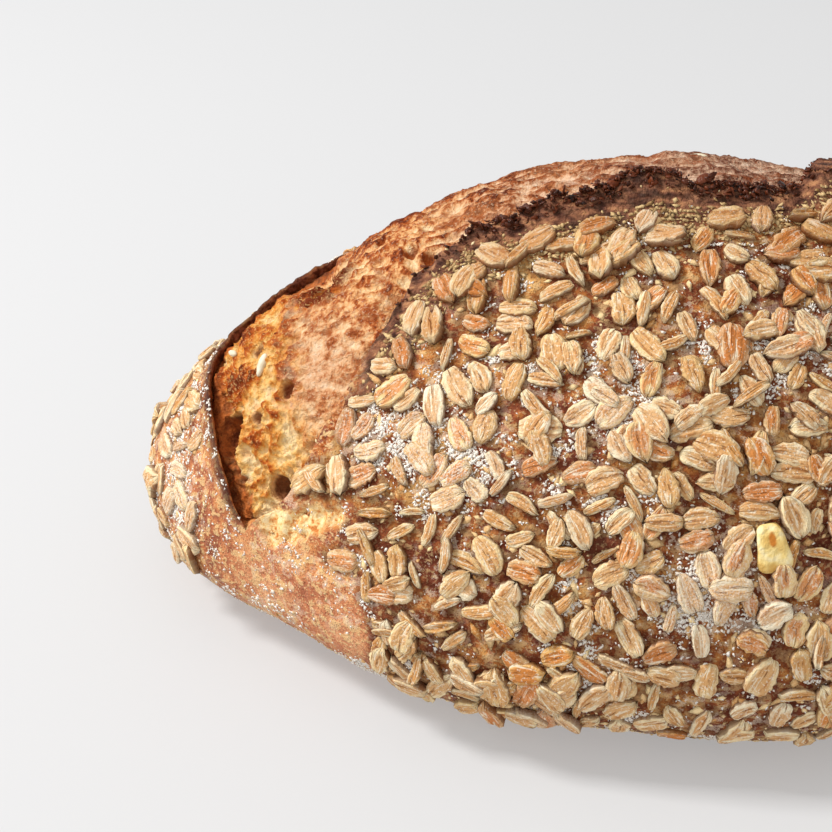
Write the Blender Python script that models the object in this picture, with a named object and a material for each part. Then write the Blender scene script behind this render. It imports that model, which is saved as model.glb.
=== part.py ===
"""A seeded rye loaf: an oval hearth loaf with one long slash that opened in the oven.

The slash runs from the low left end, over the crest, to the right end. Its near side lifted into
a thin ear, its far side and left end stand as a low lip, and the torn crumb has risen between them.
Flattened rye grains are baked onto the skin. X is the loaf's length, -Y its seeded front, Z is up.
"""

import math
import random

import bpy
import numpy as np
from mathutils import Matrix, Vector

# Body, in metres
LENGTH = 0.273
WIDTH = 0.1716
HEIGHT = 0.1142
WAIST = 0.0245  # height of the widest line
UNDER_REACH = 0.0306  # how far the underside would bulge below the widest line without a table
PLAN_POWER = 1.77
DOME_POWER = 1.70
UNDER_POWER = 2.6
CREST_SOFTNESS = 0.06
LUMP_HEIGHT = 0.0011
LUMP_SIZE = 0.034
SWELL_SIZE = 0.022
SWELLS = (  # where the dough stands out of the plain body or sinks into it: place and height
    ((-0.1111, 0.0091, 0.0673), -0.0018),
    ((-0.0955, 0.0040, 0.0810), -0.0008),
    ((-0.0840, 0.0048, 0.0884), -0.0020),
    ((-0.0591, 0.0193, 0.0971), -0.0012),
    ((-0.0442, 0.0206, 0.1021), 0.0012),
    ((-0.0111, 0.0168, 0.1109), -0.0009),
    ((0.0110, 0.0209, 0.1094), -0.0007),
    ((-0.1152, -0.0367, 0.0138), 0.0005),
    ((-0.0994, -0.0524, 0.0179), -0.0027),
    ((-0.0710, -0.0640, 0.0096), -0.0005),
    ((-0.0344, -0.0764, 0.0081), 0.0017),
    ((-0.0160, -0.0819, 0.0127), -0.0016),
    ((0.0043, -0.0827, 0.0122), -0.0010),
    ((0.0249, -0.0784, 0.0099), 0.0007),
)

# The slash: its two ends and the lines of its near and far sides, as points on the skin
LEFT_TIP = (-0.104, -0.048, 0.038)
RIGHT_TIP = (0.120, -0.004, 0.050)
NEAR_RIM = (
    (-0.093, -0.051, 0.049),
    (-0.084, -0.044, 0.066),
    (-0.074, -0.036, 0.0815),
    (-0.067, -0.030, 0.0905),
    (-0.057, -0.0235, 0.0985),
    (-0.044, -0.0205, 0.104),
    (-0.027, -0.0205, 0.108),
    (-0.0135, -0.0175, 0.111),
    (0.0135, -0.0160, 0.1115),
    (0.023, -0.0130, 0.111),
    (0.036, -0.0100, 0.108),
    (0.070, -0.0100, 0.094),
    (0.105, -0.0080, 0.066),
)
FAR_RIM = (
    (-0.109, -0.040, 0.046),
    (-0.115, -0.024, 0.056),
    (-0.118, -0.006, 0.060),
    (-0.110, 0.012, 0.070),
    (-0.085, 0.020, 0.087),
    (-0.045, 0.026, 0.101),
    (0.000, 0.029, 0.107),
    (0.045, 0.025, 0.101),
    (0.090, 0.012, 0.079),
)

# The ear on the near side and the lip on the far side
EAR_LIFT = 0.0055
EAR_OVERHANG = 0.0035
EAR_REACH = 0.012  # how far down the flank the lifting starts
EAR_STARTS = (-0.082, -0.052)  # x where the ear begins, and where it is full
EAR_ENDS = (0.080, 0.112)
CURL_LIFT = 0.0060  # how much higher the ear stands where it curls back
CURL_STARTS = (0.0215, 0.0280)
CURL_ENDS = (0.0420, 0.0600)
LIP_LIFT = 0.0008
LEFT_LIP_LIFT = 0.0012
LEFT_LIP_ENDS = (-0.100, -0.080)  # x where the tall left lip sinks to the far lip
LIP_REACH = 0.006
EDGE_THICKNESS = 0.0018
TUCK = 0.0070  # how far the crumb runs on under the skin
CREVICE = 0.0045  # depth of the line where skin and crumb meet

# The torn crumb
CRUMB_RISE = 0.0010
CAVITIES = (  # where the crumb has sunk: place, radius and depth
    ((-0.108, -0.022, 0.058), 0.012, 0.0095),
    ((-0.098, -0.044, 0.050), 0.012, 0.0085),
    ((-0.095, 0.006, 0.080), 0.007, 0.0055),
    ((-0.058, -0.006, 0.103), 0.007, 0.0022),
)

# Mesh rows
STATIONS = 56
CRUMB_ROWS = 9
FLANK_ROWS = 16
RIM_DISTANCES = (0.0, 0.004, 0.010)
UNDERSIDE_SHARES = (0.45,)
END_REACH = 4.2  # how near the end stations come to the slash's tips, on the chart
FINE_STEPS = 240

# Grains
GRAIN_LENGTH = 0.0088
GRAIN_WIDTH = 0.0052
GRAIN_HEIGHT = 0.0022
GRAIN_STANDS = 0.0004  # height of a grain's widest line above the crust
GRAIN_ROOT = 0.0038
GRAIN_COUNT = 215
GRAIN_SPACING = 0.0108
GRAIN_CLEAR_OF_EAR = 0.0085
GRAIN_CLEAR_OF_LIP = 0.0055
GRAIN_LOWEST = 0.014
SEED = 7

CRUST_COLOUR = (0.33, 0.13, 0.05, 1.0)


def clear_scene():
    """Removes every object of the scene that the script starts in."""
    for existing in list(bpy.data.objects):
        bpy.data.objects.remove(existing)


def smooth_step(value, low, high):
    """0 below low, 1 above high, and a smooth rise between."""
    share = np.clip((value - low) / (high - low), 0.0, 1.0)
    return share * share * (3.0 - 2.0 * share)


def lattice_value(cell):
    """A fixed pseudo-random number from -1 to 1 for each whole-numbered cell corner."""
    mixed = cell[..., 0] * 127.1 + cell[..., 1] * 311.7 + cell[..., 2] * 74.7
    return 2.0 * ((np.sin(mixed) * 43758.5453) % 1.0) - 1.0


def smooth_noise(points):
    """Smooth noise from -1 to 1 over space, one hump to each unit cell."""
    base = np.floor(points)
    part = points - base
    part = part * part * (3.0 - 2.0 * part)
    total = 0.0
    for corner in np.ndindex(2, 2, 2):
        weight = 1.0
        for axis, side in enumerate(corner):
            weight = weight * (part[..., axis] if side else 1.0 - part[..., axis])
        total = total + weight * lattice_value(base + np.array(corner, float))
    return total


def soft_power(value, power):
    """The size of value to a power, rounded off where value is near zero."""
    softness = CREST_SOFTNESS
    return (value * value + softness * softness) ** (power / 2.0) - softness**power


def body_point(direction):
    """The plain loaf's surface in a direction, given in the loaf's own proportions."""
    upper = direction[..., 2] > 0.0
    depth = np.where(upper, HEIGHT - WAIST, UNDER_REACH)
    power = np.where(upper, DOME_POWER, UNDER_POWER)
    plan = soft_power(direction[..., 0], PLAN_POWER) + soft_power(direction[..., 1], PLAN_POWER)
    plan = np.maximum(plan, 0.0) ** (1.0 / PLAN_POWER)
    size = (plan**power + np.abs(direction[..., 2]) ** power) ** (1.0 / power)
    point = np.empty(direction.shape)
    point[..., 0] = direction[..., 0] / size * LENGTH / 2.0
    point[..., 1] = direction[..., 1] / size * WIDTH / 2.0
    point[..., 2] = direction[..., 2] / size * depth + WAIST
    return point


def lumps(point):
    """How far the proved dough stands out of the plain body at a point."""
    height = LUMP_HEIGHT * smooth_noise(point / LUMP_SIZE + 11.0)
    for place, swell in SWELLS:
        away = np.linalg.norm(point - np.array(place), axis=-1)
        height = height + swell * np.exp(-((away / SWELL_SIZE) ** 2))
    return height


def direction_of(place):
    """The direction, in the loaf's own proportions, of a place on the skin."""
    x, y, z = place
    depth = HEIGHT - WAIST if z > WAIST else UNDER_REACH
    direction = np.array((x / (LENGTH / 2.0), y / (WIDTH / 2.0), (z - WAIST) / depth))
    return direction / np.linalg.norm(direction)


def flattened(direction):
    """The direction as one complex number, the crest at zero and the underside far out."""
    return complex(direction[0], direction[1]) / (1.0 + direction[2])


LEFT_POLE = flattened(direction_of(LEFT_TIP))
RIGHT_POLE = flattened(direction_of(RIGHT_TIP))
CHART_TURN = -LEFT_POLE / RIGHT_POLE


def chart_of(place):
    """A place on the skin as (along, around): along runs from the slash's left tip to its right."""
    flat = flattened(direction_of(place))
    number = (flat - LEFT_POLE) / (CHART_TURN * (RIGHT_POLE - flat))
    return math.log(abs(number)), math.atan2(number.imag, number.real)


def plain_skin(along, around):
    """The plain loaf's surface at a point of the chart."""
    number = np.exp(along + 1j * around)
    flat = (LEFT_POLE + CHART_TURN * RIGHT_POLE * number) / (1.0 + CHART_TURN * number)
    size = np.abs(flat) ** 2
    direction = np.stack((2.0 * flat.real, 2.0 * flat.imag, 1.0 - size), axis=-1)
    return body_point(direction / (1.0 + size)[..., None])


def skin_frame(along, around):
    """(point, outward normal, tangent towards rising around) on the lumpy skin."""
    step = 1e-4
    point = plain_skin(along, around)
    tangent_along = plain_skin(along + step, around) - plain_skin(along - step, around)
    tangent_around = plain_skin(along, around + step) - plain_skin(along, around - step)
    normal = np.cross(tangent_along, tangent_around)
    normal /= np.linalg.norm(normal, axis=-1, keepdims=True)
    tangent_around /= np.linalg.norm(tangent_around, axis=-1, keepdims=True)
    centre = np.array((0.0, 0.0, WAIST))
    inward = np.sum(normal * (point - centre), axis=-1, keepdims=True) < 0.0
    normal = np.where(inward, -normal, normal)
    return point + normal * lumps(point)[..., None], normal, tangent_around


def rim_line(places, along):
    """Around, at each value of along, of the smooth line through places on the skin."""
    marks = sorted(chart_of(place) for place in places)
    fine = np.linspace(-END_REACH - 1.0, END_REACH + 1.0, 1200)
    line = np.interp(fine, [mark[0] for mark in marks], [mark[1] for mark in marks])
    kernel = np.hanning(81)
    padded = np.pad(line, 40, mode="edge")
    line = np.convolve(padded, kernel / kernel.sum(), mode="valid")
    return np.interp(along, fine, line)


def stations(count):
    """Values of along that stand evenly spaced along the crumb's middle line."""
    fine = np.linspace(-END_REACH, END_REACH, 2000)
    middle = (rim_line(NEAR_RIM, fine) + rim_line(FAR_RIM, fine)) / 2.0
    line = plain_skin(fine, middle)
    travelled = np.concatenate(([0.0], np.cumsum(np.linalg.norm(np.diff(line, axis=0), axis=1))))
    return np.interp(np.linspace(0.0, travelled[-1], count), travelled, fine)


def ear_share(x):
    """How much of the full ear stands at x."""
    return smooth_step(x, *EAR_STARTS) * (1.0 - smooth_step(x, *EAR_ENDS))


def ear_lift(x):
    """Height of the ear's edge above the plain skin at x."""
    curl = CURL_LIFT * smooth_step(x, *CURL_STARTS) * (1.0 - smooth_step(x, *CURL_ENDS))
    return ear_share(x) * (EAR_LIFT + curl)


def lip_lift(x):
    """Height of the far and left lip's edge above the plain skin at x."""
    left = 1.0 - smooth_step(x, *LEFT_LIP_ENDS)
    right_end = 1.0 - smooth_step(x, *EAR_ENDS)
    return LIP_LIFT * right_end * (1.0 - left) + LEFT_LIP_LIFT * left


class Section:
    """One loop round the loaf: the skin from the far rim under the loaf to the near rim."""

    def __init__(self, along):
        self.along = along
        self.near = float(rim_line(NEAR_RIM, along))
        self.far = float(rim_line(FAR_RIM, along))
        turn = 2.0 * math.pi if self.near < self.far else -2.0 * math.pi
        self.fine = np.linspace(self.far, self.near + turn, FINE_STEPS)
        self.travelled = self.arc_lengths(self.fine)
        self.length = self.travelled[-1]
        self.crumb_fine = np.linspace(self.near, self.far, FINE_STEPS)
        self.crumb_travelled = self.arc_lengths(self.crumb_fine)
        self.gap = self.crumb_travelled[-1]
        self.scale = float(smooth_step(self.gap, 0.0, 0.016))

    def arc_lengths(self, around):
        line = plain_skin(np.full(len(around), self.along), around)
        return np.concatenate(([0.0], np.cumsum(np.linalg.norm(np.diff(line, axis=0), axis=1))))

    def skin_at(self, distance):
        """Frame of the skin at distances from the far rim, measured round the underside."""
        around = np.interp(distance, self.travelled, self.fine)
        point, normal, tangent = skin_frame(np.full(len(around), self.along), around)
        return point, normal, tangent * np.sign(self.fine[-1] - self.fine[0])

    def outer_skin(self, distance):
        """The skin with the ear and the lip raised, with its normal."""
        point, normal, tangent = self.skin_at(distance)
        from_ear = self.length - distance
        ear = ear_lift(point[:, 0]) * self.scale
        lip = lip_lift(point[:, 0]) * self.scale
        raised = ear * np.exp(-((from_ear / EAR_REACH) ** 1.5))
        raised = raised + lip * np.exp(-((distance / LIP_REACH) ** 2))
        over = EAR_OVERHANG * ear_share(point[:, 0]) * self.scale
        over = over * np.exp(-((from_ear / LIP_REACH) ** 2))
        moved = point + normal * raised[:, None] + tangent * over[:, None]
        moved[:, 2] = np.maximum(moved[:, 2], 0.0)
        return moved, normal

    def skin_distances(self):
        """Row distances from the far rim: close together by both rims, even between them."""
        rims = np.array(RIM_DISTANCES) * self.scale
        between = np.linspace(rims[-1], self.length - rims[-1], FLANK_ROWS)
        return np.concatenate((rims[:-1], between, self.length - rims[-2::-1]))

    def underside(self, distance, share):
        """A point under the ear or lip, share of the way from its edge to the crevice."""
        point, normal = self.outer_skin(np.array([distance]))
        depth = EDGE_THICKNESS * (1.0 - share) * self.scale
        plain, plain_normal, _ = self.skin_at(np.array([distance]))
        edge_point = point - normal * depth
        crevice_point = plain - plain_normal * CREVICE * self.scale
        return edge_point[0] * (1.0 - share) + crevice_point[0] * share

    def undersides(self, at_near_rim):
        """Points from the edge down to the crevice under one rim, as a list."""
        found = []
        for share in (0.0, *UNDERSIDE_SHARES, 1.0):
            inset = TUCK * self.scale * share
            distance = self.length - inset if at_near_rim else inset
            found.append(self.underside(distance, share))
        return found

    def crumb(self):
        """The torn crumb's surface between the two crevices, from the near side to the far."""
        shares = np.linspace(0.0, 1.0, CRUMB_ROWS + 2)[1:-1]
        around = np.interp(shares * self.gap, self.crumb_travelled, self.crumb_fine)
        point, normal, _ = skin_frame(np.full(len(around), self.along), around)
        height = crumb_height(point, shares, self.scale)
        return point + normal * height[:, None]


def crumb_height(point, shares, scale):
    """Height of the torn crumb above the plain skin."""
    rise = CRUMB_RISE * np.sin(np.pi * shares) * scale
    at_edges = np.exp(-((shares / 0.12) ** 2)) * ear_share(point[:, 0])
    at_edges = at_edges + np.exp(-(((1.0 - shares) / 0.12) ** 2))
    height = rise - CREVICE * 0.7 * at_edges * scale
    for place, radius, depth in CAVITIES:
        away = np.linalg.norm(point - np.array(place), axis=1)
        height = height - depth * np.exp(-((away / radius) ** 2))
    return height


def section_loop(along):
    """All points of one closed loop: skin, ear underside, crumb, lip underside."""
    section = Section(along)
    skin, _ = section.outer_skin(section.skin_distances())
    under_ear = section.undersides(at_near_rim=True)
    under_lip = section.undersides(at_near_rim=False)[::-1]
    return [*skin, *under_ear, *section.crumb(), *under_lip]


def loaf_mesh():
    """The loaf's body as one closed mesh of loops, with a point at each tip of the slash."""
    loops = [section_loop(along) for along in stations(STATIONS)]
    ring = len(loops[0])
    points = [point for loop in loops for point in loop]
    faces = []
    for row in range(len(loops) - 1):
        for column in range(ring):
            following = (column + 1) % ring
            low, high = row * ring, (row + 1) * ring
            faces.append((low + column, high + column, high + following, low + following))
    for row, reverse in ((0, False), (len(loops) - 1, True)):
        tip = len(points)
        points.append(np.mean(loops[row], axis=0))
        for column in range(ring):
            pair = (row * ring + column, row * ring + (column + 1) % ring)
            faces.append((tip, pair[1], pair[0]) if reverse else (tip, *pair))
    mesh = bpy.data.meshes.new("loaf")
    mesh.from_pydata([tuple(point) for point in points], [], faces)
    return mesh


def crust_material():
    """The baked rye crust's plain colour and gloss."""
    material = bpy.data.materials.new("rye_crust")
    material.use_nodes = True
    shader = material.node_tree.nodes["Principled BSDF"]
    shader.inputs["Base Color"].default_value = CRUST_COLOUR
    shader.inputs["Roughness"].default_value = 0.7
    shader.inputs["Metallic"].default_value = 0.0
    return material


def outward_mesh(mesh):
    """Turns a closed mesh inside out if its faces point inwards."""
    mesh.calc_loop_triangles()
    volume = 0.0
    for triangle in mesh.loop_triangles:
        a, b, c = (mesh.vertices[index].co for index in triangle.vertices)
        volume += a.dot(b.cross(c))
    if volume < 0.0:
        mesh.flip_normals()


def grain_places(rng):
    """Frames on the skin where grains lie, spread evenly clear of the slash and the underside."""
    sections = [Section(along) for along in stations(STATIONS)]
    reach = max(section.length for section in sections)
    chosen = []
    for _ in range(GRAIN_COUNT * 400):
        if len(chosen) == GRAIN_COUNT:
            break
        section = rng.choice(sections)
        distance = rng.uniform(0.0, reach)
        clear_top = section.length - GRAIN_CLEAR_OF_EAR
        if not GRAIN_CLEAR_OF_LIP < distance < clear_top:
            continue
        point, normal = section.outer_skin(np.array([distance]))
        place, up = Vector(point[0]), Vector(normal[0])
        if place.z < GRAIN_LOWEST:
            continue
        if all((place - other).length > GRAIN_SPACING for other, _ in chosen):
            chosen.append((place, up))
    return chosen


def grain_mesh():
    """A flattened grain: pointed ends, straight flanks, a ridge along the top, a root in the crust."""
    tip, shoulder, side = GRAIN_LENGTH / 2.0, GRAIN_LENGTH * 0.26, GRAIN_WIDTH / 2.0
    outline = [(tip, 0.0), (shoulder, side), (-shoulder, side), (-tip, 0.0), (-shoulder, -side), (shoulder, -side)]
    points = [(x, y, GRAIN_STANDS) for x, y in outline]
    ridge = GRAIN_LENGTH * 0.22
    top = GRAIN_STANDS + GRAIN_HEIGHT / 2.0
    points += [(ridge, 0.0, top), (-ridge, 0.0, top), (0.0, 0.0, -GRAIN_ROOT)]
    right, left, root = 6, 7, 8
    faces = [(0, 1, right), (1, 2, left, right), (2, 3, left), (3, 4, left), (4, 5, right, left), (5, 0, right)]
    faces += [((corner + 1) % 6, corner, root) for corner in range(6)]
    mesh = bpy.data.meshes.new("grain")
    mesh.from_pydata(points, [], faces)
    outward_mesh(mesh)
    return mesh


def lay_grains(rng):
    """One object for each grain, half sunk in the crust and turned at random, in a collection."""
    collection = bpy.data.collections.new("grains")
    bpy.context.scene.collection.children.link(collection)
    shape = grain_mesh()
    for number, (place, up) in enumerate(grain_places(rng)):
        grain = bpy.data.objects.new(f"grain_{number:03d}", shape)
        turn = Matrix.Rotation(rng.uniform(0.0, math.pi), 4, "Z")
        size = rng.uniform(0.85, 1.15)
        facing = up.to_track_quat("Z", "Y").to_matrix().to_4x4()
        grain.matrix_world = Matrix.Translation(place) @ facing @ turn @ Matrix.Scale(size, 4)
        collection.objects.link(grain)
    return collection


def join_grains(loaf, collection):
    """Fuses the grains to the loaf with one union, and removes what it was made from."""
    union = loaf.modifiers.new("grains", "BOOLEAN")
    union.operation = "UNION"
    union.operand_type = "COLLECTION"
    union.collection = collection
    union.solver = "MANIFOLD"
    graph = bpy.context.evaluated_depsgraph_get()
    joined = bpy.data.meshes.new_from_object(loaf.evaluated_get(graph))
    loaf.modifiers.clear()
    loaf.data = joined
    for grain in list(collection.objects):
        bpy.data.objects.remove(grain)
    bpy.data.collections.remove(collection)


def stand_at_origin(mesh):
    """Moves the mesh so that the middle of its box's underside is the origin."""
    points = np.array([vertex.co for vertex in mesh.vertices])
    low, high = points.min(axis=0), points.max(axis=0)
    middle = (low + high) / 2.0
    mesh.transform(Matrix.Translation((-middle[0], -middle[1], -low[2])))


def main():
    clear_scene()
    rng = random.Random(SEED)
    mesh = loaf_mesh()
    outward_mesh(mesh)
    loaf = bpy.data.objects.new("loaf", mesh)
    bpy.context.scene.collection.objects.link(loaf)
    join_grains(loaf, lay_grains(rng))
    stand_at_origin(loaf.data)
    loaf.data.materials.clear()
    loaf.data.materials.append(crust_material())
    loaf.data.shade_smooth()
    loaf.data.set_sharp_from_angle(angle=math.radians(35.0))


main()
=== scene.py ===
"""The seeded rye loaf, dressed for a render: crust with its ear and lip, torn crumb, grains, flour.

The loaf's shape comes from the same named values and functions as the part, only with finer rows.
"""

import math

import bmesh
import bpy
import numpy as np
from mathutils import Matrix, Vector
from mathutils.kdtree import KDTree


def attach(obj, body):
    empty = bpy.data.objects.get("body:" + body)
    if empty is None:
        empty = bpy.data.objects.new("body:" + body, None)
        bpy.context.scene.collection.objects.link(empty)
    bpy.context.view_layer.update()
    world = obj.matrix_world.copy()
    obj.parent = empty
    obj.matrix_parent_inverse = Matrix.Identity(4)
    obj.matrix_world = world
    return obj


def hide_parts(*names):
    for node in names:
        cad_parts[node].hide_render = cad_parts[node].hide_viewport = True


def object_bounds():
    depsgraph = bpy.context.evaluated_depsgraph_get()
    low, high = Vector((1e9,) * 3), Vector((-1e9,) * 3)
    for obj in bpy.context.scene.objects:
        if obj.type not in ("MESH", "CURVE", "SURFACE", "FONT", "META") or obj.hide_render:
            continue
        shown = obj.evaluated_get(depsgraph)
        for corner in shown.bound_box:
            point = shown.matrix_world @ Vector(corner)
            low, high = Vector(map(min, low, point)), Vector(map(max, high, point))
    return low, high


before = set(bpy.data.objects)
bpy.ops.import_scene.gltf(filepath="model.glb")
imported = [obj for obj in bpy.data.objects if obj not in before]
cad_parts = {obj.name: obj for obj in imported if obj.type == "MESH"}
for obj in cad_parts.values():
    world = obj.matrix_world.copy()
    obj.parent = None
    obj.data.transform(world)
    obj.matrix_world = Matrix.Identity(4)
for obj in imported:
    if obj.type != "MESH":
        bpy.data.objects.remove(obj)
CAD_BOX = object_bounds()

# Body, in metres
LENGTH = 0.273
WIDTH = 0.1716
HEIGHT = 0.1142
WAIST = 0.0245
UNDER_REACH = 0.0306
PLAN_POWER = 1.77
DOME_POWER = 1.70
UNDER_POWER = 2.6
CREST_SOFTNESS = 0.06
LUMP_HEIGHT = 0.0011
LUMP_SIZE = 0.034
SWELL_SIZE = 0.022
SWELLS = (  # where the dough stands out of the plain body or sinks into it: place and height
    ((-0.1111, 0.0091, 0.0673), -0.0018),
    ((-0.0955, 0.0040, 0.0810), -0.0008),
    ((-0.0840, 0.0048, 0.0884), -0.0020),
    ((-0.0591, 0.0193, 0.0971), -0.0012),
    ((-0.0442, 0.0206, 0.1021), 0.0012),
    ((-0.0111, 0.0168, 0.1109), -0.0009),
    ((0.0110, 0.0209, 0.1094), -0.0007),
    ((-0.1152, -0.0367, 0.0138), 0.0005),
    ((-0.0994, -0.0524, 0.0179), -0.0027),
    ((-0.0710, -0.0640, 0.0096), -0.0005),
    ((-0.0344, -0.0764, 0.0081), 0.0017),
    ((-0.0160, -0.0819, 0.0127), -0.0016),
    ((0.0043, -0.0827, 0.0122), -0.0010),
    ((0.0249, -0.0784, 0.0099), 0.0007),
)

# The slash: its two ends and the lines of its near and far sides, as points on the skin
LEFT_TIP = (-0.104, -0.048, 0.038)
RIGHT_TIP = (0.120, -0.004, 0.050)
NEAR_RIM = (
    (-0.093, -0.051, 0.049),
    (-0.084, -0.044, 0.066),
    (-0.074, -0.036, 0.0815),
    (-0.067, -0.030, 0.0905),
    (-0.057, -0.0235, 0.0985),
    (-0.044, -0.0205, 0.104),
    (-0.027, -0.0205, 0.108),
    (-0.0135, -0.0175, 0.111),
    (0.0135, -0.0160, 0.1115),
    (0.023, -0.0130, 0.111),
    (0.036, -0.0100, 0.108),
    (0.070, -0.0100, 0.094),
    (0.105, -0.0080, 0.066),
)
FAR_RIM = (
    (-0.109, -0.040, 0.046),
    (-0.115, -0.024, 0.056),
    (-0.118, -0.006, 0.060),
    (-0.110, 0.012, 0.070),
    (-0.085, 0.020, 0.087),
    (-0.045, 0.026, 0.101),
    (0.000, 0.029, 0.107),
    (0.045, 0.025, 0.101),
    (0.090, 0.012, 0.079),
)
EAR_LIFT = 0.0055
EAR_OVERHANG = 0.0035
EAR_PEAKS = (  # where the burnt edge stands higher and leans back: x, reach, height and lean
    (-0.0300, 0.0130, 0.0018, 0.0015),
    (-0.0080, 0.0075, 0.0022, 0.0050),
)
CURL_LEAN = 0.0075
EAR_REACH = 0.012
EAR_STARTS = (-0.082, -0.052)
EAR_ENDS = (0.080, 0.112)
CURL_LIFT = 0.0060
CURL_STARTS = (0.0215, 0.0280)
CURL_ENDS = (0.0420, 0.0600)
LIP_LIFT = -0.0010
LEFT_LIP_LIFT = 0.0012
LEFT_LIP_ENDS = (-0.100, -0.080)
LIP_REACH = 0.006
TUCK = 0.0070
CREVICE = 0.0045
CRUMB_RISE = 0.0010
CAVITIES = (  # where the crumb has sunk: place, radius and depth
    ((-0.108, -0.024, 0.058), 0.008, 0.0035),
    ((-0.098, -0.044, 0.050), 0.012, 0.0050),
    ((-0.095, 0.006, 0.080), 0.007, 0.0050),
    ((-0.0895, 0.0010, 0.0865), 0.0070, 0.0048),
    ((-0.058, -0.006, 0.103), 0.007, 0.0022),
)
END_REACH = 4.2
FINE_STEPS = 260
TO_ORIGIN = np.array((-0.00047, -0.00069, 0.0))  # the part's move to the middle of its box

# A pale chunk of grain on the flank: place, and half its length, width and thickness
CHUNK = ((0.0183, -0.0734, 0.0598), (0.0053, 0.0035, 0.0018))

# Mesh rows
STATIONS = 380
SKIN_ROWS = 194
RIM_ROWS = 16
RIM_BAND = 0.010
UNDERSIDE_ROWS = 8
FLOOR_ROWS = 6
FLOOR_DEPTH = 0.021
CRUMB_STATIONS = 600
CRUMB_ROWS = 150

# Edges of ear and lip
EAR_THICKNESS = 0.0015
LIP_THICKNESS = 0.0009
EAR_RAG = 0.0019
CREST_RAG = 0.0027
LIP_RAG = 0.0015
LIP_RAG_FADES = (-0.086, -0.062)

TEAR = ((-0.0960, -0.0512, 0.0415), (-0.0790, -0.0580, 0.0500))

# Camera, fitted to the loaf's outline for an 832 x 832 picture
CAMERA_PLACE = (-0.02196, -0.41256, 0.29021)
CAMERA_ELEVATION = 30.74
CAMERA_TURN = 6.22
CAMERA_LENS = 80.78
SENSOR_WIDTH = 36.0

SEED = 11


def smooth_step(value, low, high):
    """0 below low, 1 above high, and a smooth rise between."""
    share = np.clip((value - low) / (high - low), 0.0, 1.0)
    return share * share * (3.0 - 2.0 * share)


def hump(value, low, full, falls, gone):
    """0 below low, 1 from full to falls, and 0 again above gone."""
    return smooth_step(value, low, full) * (1.0 - smooth_step(value, falls, gone))


def bell(away, reach):
    """1 where away is 0, falling to 0 at about two reaches."""
    return np.exp(-((away / reach) ** 2))


def near_place(point, place, radius):
    """1 at a place, falling to 0 at about two radii from it."""
    return bell(np.linalg.norm(point - np.array(place), axis=-1), radius)


def lattice_value(cell):
    """A fixed pseudo-random number from -1 to 1 for each whole-numbered cell corner."""
    mixed = cell[..., 0] * 127.1 + cell[..., 1] * 311.7 + cell[..., 2] * 74.7
    return 2.0 * ((np.sin(mixed) * 43758.5453) % 1.0) - 1.0


def smooth_noise(points):
    """Smooth noise from -1 to 1 over space, one hump to each unit cell."""
    base = np.floor(points)
    part = points - base
    part = part * part * (3.0 - 2.0 * part)
    total = 0.0
    for corner in np.ndindex(2, 2, 2):
        weight = 1.0
        for axis, side in enumerate(corner):
            weight = weight * (part[..., axis] if side else 1.0 - part[..., axis])
        total = total + weight * lattice_value(base + np.array(corner, float))
    return total


def rough_noise(points, octaves=3):
    """Noise with finer and fainter copies of itself added, from about -1 to 1."""
    total = 0.0
    for octave in range(octaves):
        total = total + smooth_noise(points * 2.03**octave + 17.0 * octave) * 0.5**octave
    return total / 1.6


def soft_power(value, power):
    """The size of value to a power, rounded off where value is near zero."""
    softness = CREST_SOFTNESS
    return (value * value + softness * softness) ** (power / 2.0) - softness**power


def body_point(direction):
    """The plain loaf's surface in a direction, given in the loaf's own proportions."""
    upper = direction[..., 2] > 0.0
    depth = np.where(upper, HEIGHT - WAIST, UNDER_REACH)
    power = np.where(upper, DOME_POWER, UNDER_POWER)
    plan = soft_power(direction[..., 0], PLAN_POWER) + soft_power(direction[..., 1], PLAN_POWER)
    plan = np.maximum(plan, 0.0) ** (1.0 / PLAN_POWER)
    size = (plan**power + np.abs(direction[..., 2]) ** power) ** (1.0 / power)
    point = np.empty(direction.shape)
    point[..., 0] = direction[..., 0] / size * LENGTH / 2.0
    point[..., 1] = direction[..., 1] / size * WIDTH / 2.0
    point[..., 2] = direction[..., 2] / size * depth + WAIST
    return point


def lumps(point):
    """How far the proved dough stands out of the plain body at a point."""
    height = LUMP_HEIGHT * smooth_noise(point / LUMP_SIZE + 11.0)
    for place, swell in SWELLS:
        height = height + swell * near_place(point, place, SWELL_SIZE)
    return height


def direction_of(place):
    """The direction, in the loaf's own proportions, of a place on the skin."""
    x, y, z = place
    depth = HEIGHT - WAIST if z > WAIST else UNDER_REACH
    direction = np.array((x / (LENGTH / 2.0), y / (WIDTH / 2.0), (z - WAIST) / depth))
    return direction / np.linalg.norm(direction)


def flattened(direction):
    """The direction as one complex number, the crest at zero and the underside far out."""
    return complex(direction[0], direction[1]) / (1.0 + direction[2])


LEFT_POLE = flattened(direction_of(LEFT_TIP))
RIGHT_POLE = flattened(direction_of(RIGHT_TIP))
CHART_TURN = -LEFT_POLE / RIGHT_POLE


def chart_of(place):
    """A place on the skin as (along, around): along runs from the slash's left tip to its right."""
    flat = flattened(direction_of(place))
    number = (flat - LEFT_POLE) / (CHART_TURN * (RIGHT_POLE - flat))
    return math.log(abs(number)), math.atan2(number.imag, number.real)


def plain_skin(along, around):
    """The plain loaf's surface at a point of the chart."""
    number = np.exp(along + 1j * around)
    flat = (LEFT_POLE + CHART_TURN * RIGHT_POLE * number) / (1.0 + CHART_TURN * number)
    size = np.abs(flat) ** 2
    direction = np.stack((2.0 * flat.real, 2.0 * flat.imag, 1.0 - size), axis=-1)
    return body_point(direction / (1.0 + size)[..., None])


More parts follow.
